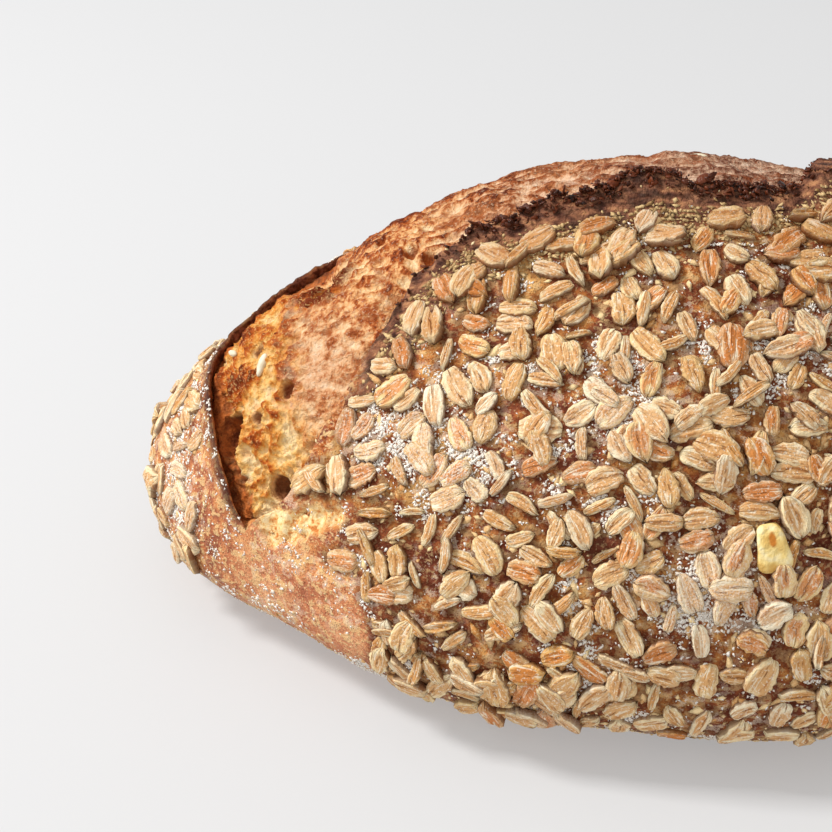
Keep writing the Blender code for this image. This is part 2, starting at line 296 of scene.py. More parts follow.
def skin_frame(along, around):
    """(point, outward normal, tangent towards rising around) on the lumpy skin."""
    step = 1e-4
    point = plain_skin(along, around)
    tangent_along = plain_skin(along + step, around) - plain_skin(along - step, around)
    tangent_around = plain_skin(along, around + step) - plain_skin(along, around - step)
    normal = np.cross(tangent_along, tangent_around)
    normal /= np.linalg.norm(normal, axis=-1, keepdims=True)
    tangent_around /= np.linalg.norm(tangent_around, axis=-1, keepdims=True)
    centre = np.array((0.0, 0.0, WAIST))
    inward = np.sum(normal * (point - centre), axis=-1, keepdims=True) < 0.0
    normal = np.where(inward, -normal, normal)
    return point + normal * lumps(point)[..., None], normal, tangent_around


def rim_line(places, along):
    """Around, at each value of along, of the smooth line through places on the skin."""
    marks = sorted(chart_of(place) for place in places)
    fine = np.linspace(-END_REACH - 1.0, END_REACH + 1.0, 1200)
    line = np.interp(fine, [mark[0] for mark in marks], [mark[1] for mark in marks])
    kernel = np.hanning(81)
    padded = np.pad(line, 40, mode="edge")
    line = np.convolve(padded, kernel / kernel.sum(), mode="valid")
    return np.interp(along, fine, line)


def stations(count, crowding):
    """Values of along spaced along the crumb's middle line, closer at the torn left end."""
    fine = np.linspace(-END_REACH, END_REACH, 2000)
    middle = (rim_line(NEAR_RIM, fine) + rim_line(FAR_RIM, fine)) / 2.0
    line = plain_skin(fine, middle)
    steps = np.linalg.norm(np.diff(line, axis=0), axis=1)
    steps = steps * (1.0 + crowding * (1.0 - smooth_step(line[1:, 0], -0.088, -0.070)))
    travelled = np.concatenate(([0.0], np.cumsum(steps)))
    return np.interp(np.linspace(0.0, travelled[-1], count), travelled, fine)


def ear_share(x):
    """How much of the full ear stands at x."""
    return hump(x, *EAR_STARTS, *EAR_ENDS)


def curl_share(x):
    """How much of the ear's high curl stands at x."""
    return hump(x, *CURL_STARTS, *CURL_ENDS)


def ear_lift(x):
    """Height of the ear's edge above the plain skin at x."""
    return ear_share(x) * (EAR_LIFT + CURL_LIFT * curl_share(x))


def lip_lift(x):
    """Height of the far and left lip's edge above the plain skin at x."""
    left = 1.0 - smooth_step(x, *LEFT_LIP_ENDS)
    right_end = 1.0 - smooth_step(x, *EAR_ENDS)
    return LIP_LIFT * right_end * (1.0 - left) + LEFT_LIP_LIFT * left


def tear_share(point, margin=0.0):
    """1 where the skin beside the slash's lower end tore off the crumb, 0 beyond it and a margin."""
    start, end = np.array(TEAR[0]), np.array(TEAR[1])
    way = end - start
    share = np.clip((point - start) @ way / (way @ way), 0.0, 1.0)
    away = np.linalg.norm(point - start - share[..., None] * way, axis=-1)
    wide = 0.0052 - 0.0024 * share + margin
    return 1.0 - smooth_step(away / wide + 0.35 * smooth_noise(point / 0.0028 + 19.0), 0.75, 1.05)


def skin_relief(point):
    """The crust's own unevenness: blisters, marks pressed in by grains, and the torn tongue."""
    blisters = 0.00040 * rough_noise(point / 0.0075 + 3.0, 2)
    fine = 0.00018 * smooth_noise(point / 0.0024 + 31.0)
    tear = tear_share(point)
    torn = 0.0012 * smooth_noise(point / 0.0021 + 13.0) + 0.0007 * rough_noise(point / 0.0044 + 29.0, 2)
    torn = (torn - 0.0015) * tear
    return torn + (blisters + fine) * smooth_step(point[..., 2], 0.001, 0.012)


def line_noise(x, size, seed):
    """Smooth noise along the loaf's length."""
    points = np.stack((x / size, np.full(x.shape, seed), np.full(x.shape, 0.5)), axis=-1)
    return smooth_noise(points)


def around_at(distance, travelled, fine):
    """Angles at distances along each station's table."""
    rows = zip(distance, travelled, fine)
    return np.array([np.interp(wanted, passed, angles) for wanted, passed, angles in rows])


class Chart:
    """The loaf's loops at many stations at once. Arrays hold one row for each station."""

    def __init__(self, count, crowding):
        self.along = stations(count, crowding)
        self.near = rim_line(NEAR_RIM, self.along)
        self.far = rim_line(FAR_RIM, self.along)
        turn = np.where(self.near < self.far, 2.0 * math.pi, -2.0 * math.pi)
        self.fine, self.travelled = self.table(self.far, self.near + turn)
        self.crumb_fine, self.crumb_travelled = self.table(self.near, self.far)
        self.length = self.travelled[:, -1:]
        self.gap = self.crumb_travelled[:, -1:]
        self.scale = smooth_step(self.gap, 0.0, 0.016)

    def beside(self, around):
        """Each station's along, repeated to go with its values of around."""
        return self.along[:, None] + 0.0 * around

    def table(self, start, end):
        """Angles from start to end at each station, and the length travelled at each."""
        share = np.linspace(0.0, 1.0, FINE_STEPS)
        around = start[:, None] + (end - start)[:, None] * share
        line = plain_skin(self.beside(around), around)
        steps = np.linalg.norm(np.diff(line, axis=1), axis=2)
        zero = np.zeros((len(self.along), 1))
        return around, np.concatenate((zero, np.cumsum(steps, axis=1)), axis=1)

    def skin_at(self, distance):
        """Frame of the skin at distances from the far rim, measured round the underside."""
        around = around_at(distance, self.travelled, self.fine)
        point, normal, tangent = skin_frame(self.beside(around), around)
        towards = np.sign(self.fine[:, -1] - self.fine[:, 0])[:, None, None]
        return point, normal, tangent * towards

    def outer_skin(self, distance):
        """The skin with ear, lip, ragged edges and relief, with its normal."""
        point, normal, tangent = self.skin_at(distance)
        x = point[..., 0]
        from_ear = self.length - distance
        ear = ear_lift(x) * self.scale
        lip = lip_lift(x) * self.scale
        raised = ear * np.exp(-((from_ear / EAR_REACH) ** 1.5))
        raised = raised + lip * bell(distance, LIP_REACH)
        over = EAR_OVERHANG * ear_share(x) * self.scale
        over = over * bell(from_ear, LIP_REACH)
        over = over + CURL_LEAN * curl_share(x) * bell(from_ear, 0.0050)
        for place, reach, height, lean in EAR_PEAKS:
            peak = np.exp(-(((x - place) / reach) ** 2) - (from_ear / 0.0045) ** 2)
            raised = raised + height * peak
            over = over + lean * peak
        share = ear_share(x) * self.scale
        rag = EAR_RAG * (line_noise(x, 0.0065, 2.5) + 0.7 * line_noise(x, 0.0019, 8.5)) * share
        over = over + rag * bell(from_ear, 0.003)
        crest = 0.5 * line_noise(x, 0.0048, 5.5) + 0.6 * line_noise(x, 0.0019, 9.5)
        raised = raised + CREST_RAG * crest * share * bell(from_ear, 0.0020)
        way = point[..., 2] + x
        torn = LIP_RAG * (line_noise(way, 0.005, 4.5) + 0.6 * line_noise(way, 0.0017, 6.5)) * self.scale
        torn = torn * (1.0 - 0.7 * smooth_step(x, *LIP_RAG_FADES))
        over = over - torn * bell(distance, 0.002)
        raised = raised + 0.7 * np.abs(torn) * bell(distance, 0.0016)
        burnt = 0.00060 * rough_noise(point / 0.0019 + 9.0, 2) * share
        raised = raised + burnt * bell(from_ear, 0.0065)
        raised = raised + skin_relief(point)
        moved = point + normal * raised[..., None] + tangent * over[..., None]
        moved[..., 2] = np.maximum(moved[..., 2], 0.0)
        return moved, normal

    def skin_distances(self):
        """Row distances from the far rim: close by both rims, finer in front than behind."""
        coarse = np.linspace(0.0, 1.0, 400)
        distance = self.length * coarse
        around = around_at(distance, self.travelled, self.fine)
        point = plain_skin(self.beside(around), around)
        weight = np.where(point[..., 1] < 0.0, 1.0, 0.55)
        weight = np.where(point[..., 2] < 0.001, 0.3, weight)
        passed = np.cumsum(weight, axis=1)
        passed = (passed - passed[:, :1]) / (passed[:, -1:] - passed[:, :1])
        band = RIM_BAND * self.scale
        rim = np.linspace(0.0, 1.0, RIM_ROWS + 1)[:-1]
        wanted = np.linspace(0.0, 1.0, SKIN_ROWS)
        middle = np.array([np.interp(wanted, row, coarse) for row in passed])
        middle = band + middle * (self.length - 2.0 * band)
        return np.concatenate((band * rim, middle, self.length - (band * rim)[:, ::-1]), axis=1)

    def underside(self, share, at_near_rim):
        """Points under the ear or lip, share of the way from its edge to the crevice."""
        inset = TUCK * self.scale * share
        distance = self.length - inset if at_near_rim else inset
        point, normal = self.outer_skin(distance)
        plain, plain_normal, _ = self.skin_at(distance)
        thickness = EAR_THICKNESS if at_near_rim else LIP_THICKNESS
        edge_point = point - normal * (thickness * (1.0 - share) * self.scale)[..., None]
        crevice_point = plain - plain_normal * (CREVICE * self.scale)[..., None]
        wall = edge_point * (1.0 - share) + crevice_point * share
        rough = 0.0013 * torn_noise(wall) * math.sin(math.pi * share) * self.scale
        return wall - plain_normal * rough[..., None]

    def floor_below(self, at_near_rim):
        """Points of the hidden floor straight below the crevice under the ear or lip."""
        inset = TUCK * self.scale
        distance = self.length - inset if at_near_rim else inset
        plain, normal, _ = self.skin_at(distance)
        return plain - normal * (FLOOR_DEPTH * self.scale)[..., None]

    def crumb_frame(self, distance):
        """Frame of the plain skin over the crumb, at distances from the near rim to the far."""
        inside = np.clip(distance, 0.0, self.gap)
        around = around_at(inside, self.crumb_travelled, self.crumb_fine)
        point, normal, tangent = skin_frame(self.beside(around), around)
        towards = np.sign(self.crumb_fine[:, -1] - self.crumb_fine[:, 0])[:, None, None]
        beyond = (distance - inside)[..., None]
        return point + tangent * towards * beyond, normal


def crumb_height(point, shares, scale):
    """Height of the torn crumb above the plain skin."""
    inside = np.clip(shares, 0.0, 1.0)
    rise = CRUMB_RISE * np.sin(np.pi * inside) * scale
    at_edges = bell(inside, 0.12) * ear_share(point[..., 0])
    left = 1.0 - smooth_step(point[..., 0], -0.092, -0.080)
    at_edges = at_edges + bell(1.0 - inside, 0.12) * (0.12 + 0.34 * left)
    height = rise - CREVICE * 0.7 * at_edges * scale
    for place, radius, depth in CAVITIES:
        height = height - depth * near_place(point, place, radius)
    return height


def new_mesh(name, points, loops, sizes):
    """A mesh object from arrays: points, the corners of all faces in a row, corners per face."""
    mesh = bpy.data.meshes.new(name)
    mesh.vertices.add(len(points))
    mesh.vertices.foreach_set("co", np.ascontiguousarray(points + TO_ORIGIN, np.float32).ravel())
    mesh.loops.add(len(loops))
    mesh.loops.foreach_set("vertex_index", np.ascontiguousarray(loops, np.int32))
    mesh.polygons.add(len(sizes))
    starts = np.concatenate(([0], np.cumsum(sizes)[:-1]))
    mesh.polygons.foreach_set("loop_start", np.ascontiguousarray(starts, np.int32))
    mesh.update(calc_edges=True)
    mesh.shade_smooth()
    piece = bpy.data.objects.new(name, mesh)
    bpy.context.scene.collection.objects.link(piece)
    return piece


def add_values(piece, name, values):
    """Stores one number for each point of the mesh, for the materials to read."""
    attribute = piece.data.attributes.new(name, "FLOAT", "POINT")
    attribute.data.foreach_set("value", np.ascontiguousarray(values, np.float32).ravel())


def grid_loops(rows, columns, closed):
    """Corners of the faces of a grid, and of one that closes round on itself."""
    across = columns if closed else columns - 1
    row = np.arange(rows - 1)[:, None] * columns
    column = np.arange(across)[None, :]
    following = (column + 1) % columns
    corners = (row + column, row + columns + column, row + columns + following, row + following)
    return np.stack(corners, axis=-1).reshape(-1, 4)


def tip_fans(count, ring):
    """Triangles that close a row of loops at both ends, where two tip points follow the loops."""
    column = np.arange(ring)
    following = (column + 1) % ring
    low, high = count * ring, count * ring + 1
    last = (count - 1) * ring
    first = np.stack((np.full(ring, low), column, following), axis=-1)
    final = np.stack((np.full(ring, high), last + following, last + column), axis=-1)
    return np.concatenate((first, final))


def closed_loops(name, loops):
    """A closed solid through loops of points, with a point at each end."""
    count, ring = loops.shape[:2]
    points = np.concatenate((loops.reshape(-1, 3), [loops[0].mean(axis=0)], [loops[-1].mean(axis=0)]))
    quads, fans = grid_loops(count, ring, closed=True), tip_fans(count, ring)
    corners = np.concatenate((quads.ravel(), fans.ravel()))
    sizes = np.concatenate((np.full(len(quads), 4), np.full(len(fans), 3)))
    return new_mesh(name, points, corners, sizes)


def with_ends(values):
    """Values for the loops' points, and for the two tip points after them."""
    return np.concatenate((values.ravel(), [values[0].mean(), values[-1].mean()]))


def nearest_to(points, place):
    """Number of the point nearest to a place."""
    return int(np.argmin(np.linalg.norm(points - np.array(place), axis=1)))


FLOUR_PATCHES = (  # places where flour lies thick, and their radii
    ((-0.0620, -0.0545, 0.0680), 0.0055),
    ((-0.0500, -0.0600, 0.0670), 0.008),
    ((-0.0705, -0.0500, 0.0660), 0.009),
    ((-0.1240, -0.0260, 0.0420), 0.010),
    ((-0.1230, -0.0290, 0.0300), 0.008),
    ((0.0050, -0.0800, 0.0520), 0.012),
    ((-0.0200, -0.0620, 0.0850), 0.010),
    ((0.0600, -0.0400, 0.0800), 0.014),
    ((0.0900, 0.0400, 0.0500), 0.016),
    ((-0.0300, 0.0650, 0.0750), 0.018),
    ((0.0300, 0.0600, 0.0800), 0.014),
)


def flour_amount(point):
    """How thick flour lies at a point of the skin, from 0 to 1."""
    amount = 0.0
    for place, radius in FLOUR_PATCHES:
        amount = amount + near_place(point, place, radius)
    drift = 0.28 * smooth_step(rough_noise(point / 0.016 + 41.0, 2), 0.05, 0.6)
    return np.clip(amount * 0.8 + drift, 0.0, 1.0)


PALE_AND_LIT_PLACES = (  # paler bare crust, its own colour and painted light: place, radius and how pale
    ((-0.098, -0.056, 0.020), 0.024, 1.0),
    ((-0.078, -0.066, 0.020), 0.020, 1.0),
    ((-0.120, -0.030, 0.035), 0.026, 0.5),
)


class Skin:
    """The crust's skin rows, kept for laying grains and flour on them."""

    def __init__(self, chart):
        self.distance = chart.skin_distances()
        self.point, self.normal = chart.outer_skin(self.distance)
        self.from_ear = chart.length - self.distance
        self.from_lip = self.distance
        self.ear = ear_share(self.point[..., 0]) * chart.scale


def beside_grains(point, grains):
    """1 where the crust touches a grain, falling to 0 a few millimetres away: where painted shade lies
    round the grains.
    """
    places, long_axes, sizes = grains[0], tangent_frames(grains[1], grains[2])[0], grains[3]
    shares = (-0.34, -0.17, 0.0, 0.17, 0.34)
    tree = KDTree(len(places) * len(shares))
    for number, (place, axis, size) in enumerate(zip(places, long_axes, sizes)):
        for share in shares:
            tree.insert(place + axis * share * GRAIN_LENGTH * size, number)
    tree.balance()
    away = np.array([tree.find(spot)[2] for spot in point.reshape(-1, 3)]).reshape(point.shape[:2])
    return 1.0 - smooth_step(away, 0.0024, 0.0044)


def build_crust(chart, skin, grains):
    """The whole crust as one closed solid, with a hidden floor under the crumb."""
    shares = np.linspace(0.0, 1.0, UNDERSIDE_ROWS)
    under_ear = np.concatenate([chart.underside(share, True) for share in shares], axis=1)
    under_lip = np.concatenate([chart.underside(share, False) for share in shares[::-1]], axis=1)
    across = np.linspace(0.0, 1.0, FLOOR_ROWS + 2)[1:-1]
    point, normal = chart.crumb_frame(chart.gap * across)
    floor = point - normal * (FLOOR_DEPTH * chart.scale)[..., None]
    corners = (chart.floor_below(True), floor, chart.floor_below(False))
    loops = inside_box(np.concatenate((skin.point, under_ear, *corners, under_lip), axis=1))
    crust = closed_loops("crust", loops)
    rows = skin.point.shape[1]
    char, burnt_lip, inner, lip, shade = np.zeros((5, *loops.shape[:2]))
    wander = 0.0020 * rough_noise(skin.point / 0.006 + 21.0, 2)
    x = skin.point[..., 0]
    reach = 0.0072 + wander + 0.0020 * (1.0 - smooth_step(x, -0.065, -0.045))
    burnt_ear = hump(x, -0.081, -0.072, *EAR_ENDS) * chart.scale
    char[:, :rows] = burnt_ear * (1.0 - smooth_step(skin.from_ear, reach * 0.70, reach * 1.10))
    under = loops[:, -UNDERSIDE_ROWS:]
    # The underside of the far and left lip, darker deeper into the crevice: toasted crust and painted
    # shade.
    window = hump(under[..., 0], -0.124, -0.114, -0.078, -0.066)
    burnt_lip[:, -UNDERSIDE_ROWS:] = window * smooth_step(under[..., 2], 0.052, 0.060) * shares
    inner[:, rows:] = 1.0
    ragged_lip = 0.0019 + 0.0012 * rough_noise(skin.point / 0.0021 + 5.0, 2)
    ragged_lip = ragged_lip + 0.0008 * (1.0 - smooth_step(x, -0.105, -0.095))
    lip[:, :rows] = bell(skin.from_lip, np.maximum(ragged_lip, 0.0002))
    # The crust's own paler colour and painted light at the lower left and the left end.
    pale = [share * near_place(loops, place, radius) for place, radius, share in PALE_AND_LIT_PLACES]
    pale = np.max(pale, axis=0)
    # shade: painted shade round the grains, partly the crust's own darker colour there, with a darker
    # crust towards the lower right
    darker = smooth_step(x, -0.045, -0.005) * (1.0 - smooth_step(skin.point[..., 2], 0.060, 0.085))
    base = (0.28 + 0.66 * darker) * smooth_step(x, -0.070, -0.056)
    shade[:, :rows] = np.maximum(beside_grains(skin.point, grains), base)
    shade = shade * (0.35 + 0.65 * smooth_step(loops[..., 0], -0.115, -0.095))
    looks = {"char": char, "inner": inner, "lip": lip, "flour": flour_amount(loops), "pale": pale}
    looks.update(shade=shade, tear=tear_share(loops) * (1.0 - inner), burnt_lip=burnt_lip)
    for name, values in looks.items():
        add_values(crust, name, with_ends(values))
    return crust


BUBBLES = 620  # torn bubbles in the crumb, the wide ones among them
MEMBRANE = (-0.0860, -0.0330, 0.0740)  # where the dough's skin stayed smooth
RED_SPOT = (-0.0940, -0.0330, 0.0680)  # a red-brown hole at the membrane's edge
BURNT_HOLE = (-0.0905, -0.0065, 0.0848)  # a wide scorched hole by the far lip
BIG_BUBBLES = (  # the wide holes that show, and their radii
    ((-0.1108, -0.0310, 0.0545), 0.0060),
    ((-0.0975, -0.0475, 0.0498), 0.0036),
    ((-0.0976, -0.0506, 0.0403), 0.0025),
    (BURNT_HOLE, 0.0052),
    ((-0.0895, -0.0015, 0.0862), 0.0050),
    (RED_SPOT, 0.0026),
    ((-0.1010, -0.0330, 0.0600), 0.0020),
    ((-0.1030, -0.0180, 0.0700), 0.0024),
    ((-0.0749, -0.0031, 0.0938), 0.0019),
    ((-0.0663, -0.0126, 0.0961), 0.0021),
    ((-0.0617, -0.0171, 0.0967), 0.0018),
)


def open_share(point):
    """1 where the crumb tore wide open, at the left end, and 0 on the blistered rest."""
    x = point[..., 0] + 0.004 * rough_noise(point / 0.009 + 2.0, 2)
    lean = x + 0.18 * (point[..., 1] + 0.03)
    upper = 1.0 - smooth_step(lean, -0.0975, -0.0885)
    low = near_place(point, (-0.093, -0.0495, 0.049), 0.011)
    burnt = smooth_step(near_place(point, BURNT_HOLE, 0.0105), 0.25, 0.6)
    return np.clip(np.maximum(np.maximum(upper, burnt), smooth_step(low, 0.25, 0.6)), 0.0, 1.0)


def bubble_field(point, rng, opened):
    """How deep each point lies in a torn bubble: a soft dimple, or a wide hole with steep walls."""
    flat = point.reshape(-1, 3)
    weight = opened.ravel() + 0.03
    picks = rng.choice(len(flat), BUBBLES, p=weight / weight.sum())
    wide = len(BIG_BUBBLES)
    centres = flat[picks]
    radii = 0.0006 + 0.0017 * rng.random(BUBBLES) ** 2.0
    radii[:wide] = [radius for _, radius in BIG_BUBBLES]
    for number, (place, _) in enumerate(BIG_BUBBLES):
        centres[number] = flat[nearest_to(flat, place)]
    depth = np.zeros(len(flat))
    for number, (centre, radius) in enumerate(zip(centres, radii)):
        near = np.nonzero(np.abs(flat[:, 0] - centre[0]) < radius)[0]
        away = np.linalg.norm(flat[near] - centre, axis=1) / radius
        power, share = (0.5, 1.3) if number < wide else (1.5, 0.6)
        hollow = np.maximum(1.0 - away**2, 0.0) ** power * radius * share
        depth[near] = np.maximum(depth[near], hollow)
    return depth.reshape(opened.shape)


def torn_noise(point):
    """Frayed ridges from about -1 to 1, as where dough tore: bent, sharp on top, finer on coarser."""
    bend = np.stack([smooth_noise(point / 0.0055 + shift) for shift in (3.0, 23.0, 43.0)], axis=-1)
    bent = point + 0.0022 * bend
    total = 0.0
    for size, weight in ((0.0100, 0.36), (0.0050, 0.34), (0.0024, 0.24), (0.0012, 0.14)):
        total = total + weight * (1.0 - 2.6 * np.abs(smooth_noise(bent / size + 90.0 * size / 0.001)))
    return total


def build_crumb(chart, rng):
    """The torn crumb between the rims, tucked under ear and lip and closed below."""
    tuck = TUCK * chart.scale
    shares = np.linspace(0.0, 1.0, CRUMB_ROWS)
    distance = -tuck + (chart.gap + 2.0 * tuck) * shares
    point, normal = chart.crumb_frame(distance)
    across = distance / chart.gap
    height = crumb_height(point, across, chart.scale)
    under_near = np.clip(1.0 - distance / (0.1 * chart.gap), 0.0, 2.0) * ear_share(point[..., 0])
    under_far = np.clip(1.0 - (chart.gap - distance) / (0.1 * chart.gap), 0.0, 2.0)
    tucked = np.clip(np.maximum(-distance, distance - chart.gap) / np.maximum(tuck, 1e-6), 0.0, 1.0)
    height = height - 0.0013 * tucked * chart.scale
    opened = open_share(point) * (1.0 - tucked)
    depth = bubble_field(point, rng, opened)
    shown = 1.0 - np.clip(np.maximum(under_near, under_far) - 0.6, 0.0, 1.0)
    torn = torn_noise(point)
    smoother = 1.0 - 0.75 * near_place(point, MEMBRANE, 0.020)
    bent = point + 0.004 * smooth_noise(point / 0.02 + 71.0)[..., None]
    ridged = 1.0 - 2.2 * np.abs(rough_noise(bent * np.array((75.0, 290.0, 290.0)) + 7.0, 3))
    ridged = (ridged - 0.35) * smoother
    blisters = rough_noise(point / 0.0062 + 15.0, 2)
    fine = 0.00022 * smooth_noise(point / 0.0010 + 3.0)
    bloom = 0.00135 * ridged + 0.00130 * blisters * smoother
    bloom = bloom + 0.00042 * rough_noise(point / 0.0023 + 27.0, 2) * smoother
    relief = 0.0021 * torn * opened + bloom * (1.0 - opened)
    relief = (relief + fine) * (0.35 + 0.65 * shown)
    height = height + relief * chart.scale - depth * shown
    top = point + normal * height[..., None]
    thick = FLOOR_DEPTH * 0.7 * chart.scale
    sunk = point + normal * (np.minimum(height, 0.0) - thick)[..., None]
    keep = np.arange(CRUMB_ROWS - 1, -1, -12)
    loops = np.concatenate((top, sunk[:, keep]), axis=1)
    crumb = closed_loops("crumb", loops)
    spare = np.zeros((loops.shape[0], len(keep)))
    flat = point.reshape(-1, 3)
    scorched = near_place(point, BURNT_HOLE, 0.0080)
    scorched = scorched + near_place(point, flat[nearest_to(flat, RED_SPOT)], 0.0034)
    upper = smooth_step(point[..., 1], -0.040, -0.026)
    light = 0.16 * near_place(point, (-0.0945, -0.0410, 0.0590), 0.009)
    high = np.clip(0.36 + 0.14 * upper - light + 0.46 * torn - depth / 0.0030 + 0.8 * scorched, 0.0, 1.4)
    lighter = 0.07 * near_place(point, (-0.0640, -0.0140, 0.0960), 0.012)
    toast = np.clip(0.50 - lighter + 0.50 * ridged + 0.15 * blisters, 0.0, 1.0)
    left = 1.0 - smooth_step(point[..., 0], -0.085, -0.070)
    # crumb along the far rim, wider at the left, and under the ear's edge, browned later with toast and
    # painted shade
    beside = np.exp(-((np.clip(chart.gap - distance, 0.0, 1.0) / (0.0028 + 0.0014 * left)) ** 2))
    beside_ear = np.exp(-((np.clip(distance, 0.0, 1.0) / 0.0022) ** 2)) * ear_share(point[..., 0])
    beside = np.maximum(beside, beside_ear)
    golden = 1.0 - smooth_step(point[..., 0], -0.070, -0.040)
    golden = golden * (1.0 - 0.8 * near_place(point, MEMBRANE, 0.013))
    ashen = smooth_step(point[..., 0], -0.035, 0.005)
    looks = {"opened": opened, "deep": depth / 0.0022, "high": high, "toast": toast, "beside": beside}
    looks.update(golden=golden, ashen=ashen, scorched=np.clip(scorched * 1.4, 0.0, 1.0))
    for name, values in looks.items():
        add_values(crumb, name, with_ends(np.concatenate((values, spare), axis=1)))
    return crumb, top, normal


GRAINS = 1260
GRAIN_TRIES = 60000
GRAIN_LENGTH = 0.0088
GRAIN_WIDTH = 0.0050
GRAIN_THICKNESS = 0.00105
GRAIN_COLUMNS = 13
GRAIN_ACROSS = (-1.0, -0.96, -0.76, -0.38, 0.0, 0.38, 0.76, 0.96, 1.0)
GRAIN_GAP = 0.0034
GRAIN_SINK = 0.0009
RIDERS = 0.024  # share of the tried places where a grain is laid whatever it lies on

BARE_PLACES = (  # where few grains lie: place, radius and how bare
    ((-0.124, -0.024, 0.036), 0.024, 0.68),
    ((-0.064, -0.053, 0.068), 0.005, 0.9),
    ((-0.070, -0.050, 0.066), 0.005, 0.9),
    ((-0.040, -0.058, 0.076), 0.006, 0.9),
    (CHUNK[0], 0.0065, 1.0),
    ((0.022, -0.078, 0.046), 0.018, 0.5),
    ((-0.100, 0.045, 0.035), 0.030, 0.5),
)

BARE_CORNER = (  # bare crust below the slash's left end: between these x, and below these z
    (-0.0735, -0.0690),
    (-0.123, -0.117),
    (0.044, 0.050),
)


def grain_density(skin):
    """How thickly grains lie over the skin, from 0 to 1."""
    point = skin.point
    x, y, z = point[..., 0], point[..., 1], point[..., 2]
    wander = 0.0012 * rough_noise(point / 0.008 + 51.0, 2)
    edge = 0.0024 + 0.0028 * hump(x, -0.079, -0.070, *EAR_ENDS) + wander
    density = smooth_step(skin.from_ear, edge, edge + 0.0012)
    bare = 0.003 + 0.014 * smooth_step(x, -0.122, -0.112)
    density = density * smooth_step(skin.from_lip, bare, bare + 0.003)
    foot = 0.010 + 0.003 * rough_noise(point / 0.010 + 33.0, 2)
    density = density * smooth_step(z, foot, foot + 0.004) * (1.0 - tear_share(point, 0.0036))
    for place, radius, share in BARE_PLACES:
        density = density * np.clip(1.0 - share * 1.25 * near_place(point, place, radius), 0.0, 1.0)
    x, z = x + wander, z + wander
    lean = x + 0.45 * (z - 0.030)
    corner = smooth_step(lean, *BARE_CORNER[0]) + 1.0 - smooth_step(x, *BARE_CORNER[1])
    corner = np.clip(corner + smooth_step(z, *BARE_CORNER[2]) + (y > 0.0), 0.0, 1.0)
    return density * corner * np.where(y > 0.0, 0.75, 1.0)


def cell_areas(point):
    """Area of the skin about each point of the grid."""
    along = np.linalg.norm(np.gradient(point, axis=0), axis=-1)
    across = np.linalg.norm(np.gradient(point, axis=1), axis=-1)
    return along * across


JITTER = 0.0006


def pick_places(rng, skin, weight, count):
    """Points and normals on the skin, drawn at random by weight."""
    chance = (cell_areas(skin.point) * weight).ravel()
    picks = rng.choice(chance.size, count, p=chance / chance.sum())
    points = skin.point.reshape(-1, 3)[picks]
    normals = skin.normal.reshape(-1, 3)[picks]
    sideways, _ = tangent_frames(normals, rng.random(count) * 2.0 * math.pi)
    return points + sideways * rng.random((count, 1)) * JITTER, normals, picks


def tangent_frames(normals, angles):
    """Two directions in each surface, the first turned by an angle."""
    upward = np.where(np.abs(normals[:, 2:]) < 0.9, np.array((0.0, 0.0, 1.0)), np.array((1.0, 0.0, 0.0)))
    first = np.cross(upward, normals)
    first /= np.linalg.norm(first, axis=1, keepdims=True)
    second = np.cross(normals, first)
    cosine, sine = np.cos(angles)[:, None], np.sin(angles)[:, None]
    return first * cosine + second * sine, second * cosine - first * sine


HUSKS = (  # stray husks at the left end: place, normal, turn, size, whether riding, toast
    ((-0.1335, 0.0003, 0.0414), (-0.25, -0.45, 0.86), 0.2, 0.72, False, 1.0),
    ((-0.1350, -0.0021, 0.0328), (-0.10, -0.60, 0.79), 0.5, 0.65, False, 1.0),
)
NEIGHBOURS = [tuple(np.array(corner) - 1) for corner in np.ndindex(3, 3, 3)]


def spread_grains(rng, skin):
    """Places, normals, turns, sizes, whether they ride on others, and toast of the grains."""
    points, normals, picks = pick_places(rng, skin, grain_density(skin), GRAIN_TRIES)
    angles = rng.random(GRAIN_TRIES) * math.pi
    long_axis, _ = tangent_frames(normals, angles)
    sizes = np.clip(rng.normal(1.0, 0.12, GRAIN_TRIES), 0.72, 1.28)
    riding = rng.random(GRAIN_TRIES) < RIDERS
    cells = {}
    chosen = []
    for number in range(GRAIN_TRIES):
        if len(chosen) == GRAINS:
            break
        reach = long_axis[number] * GRAIN_LENGTH * 0.27 * sizes[number]
        ends = (points[number] - reach, points[number], points[number] + reach)
        key = tuple(np.floor(points[number] / 0.012).astype(int))
        around = [cells.get((key[0] + i, key[1] + j, key[2] + k), ()) for i, j, k in NEIGHBOURS]
        close = [other for cell in around for other in cell]
        if close and not riding[number]:
            gaps = np.linalg.norm(np.array(close)[:, None, :] - np.array(ends)[None], axis=2)
            if gaps.min() < GRAIN_GAP:
                continue
        if not riding[number]:
            cells.setdefault(key, []).extend(ends)
        chosen.append(number)
    toast = np.exp(-((skin.from_ear.ravel()[picks] / 0.015) ** 2)) * skin.ear.ravel()[picks]
    found = [values[chosen] for values in (points, normals, angles, sizes, riding, toast)]
    husks = [np.array(values) for values in zip(*HUSKS)]
    return [np.concatenate(pair) for pair in zip(found, husks)]


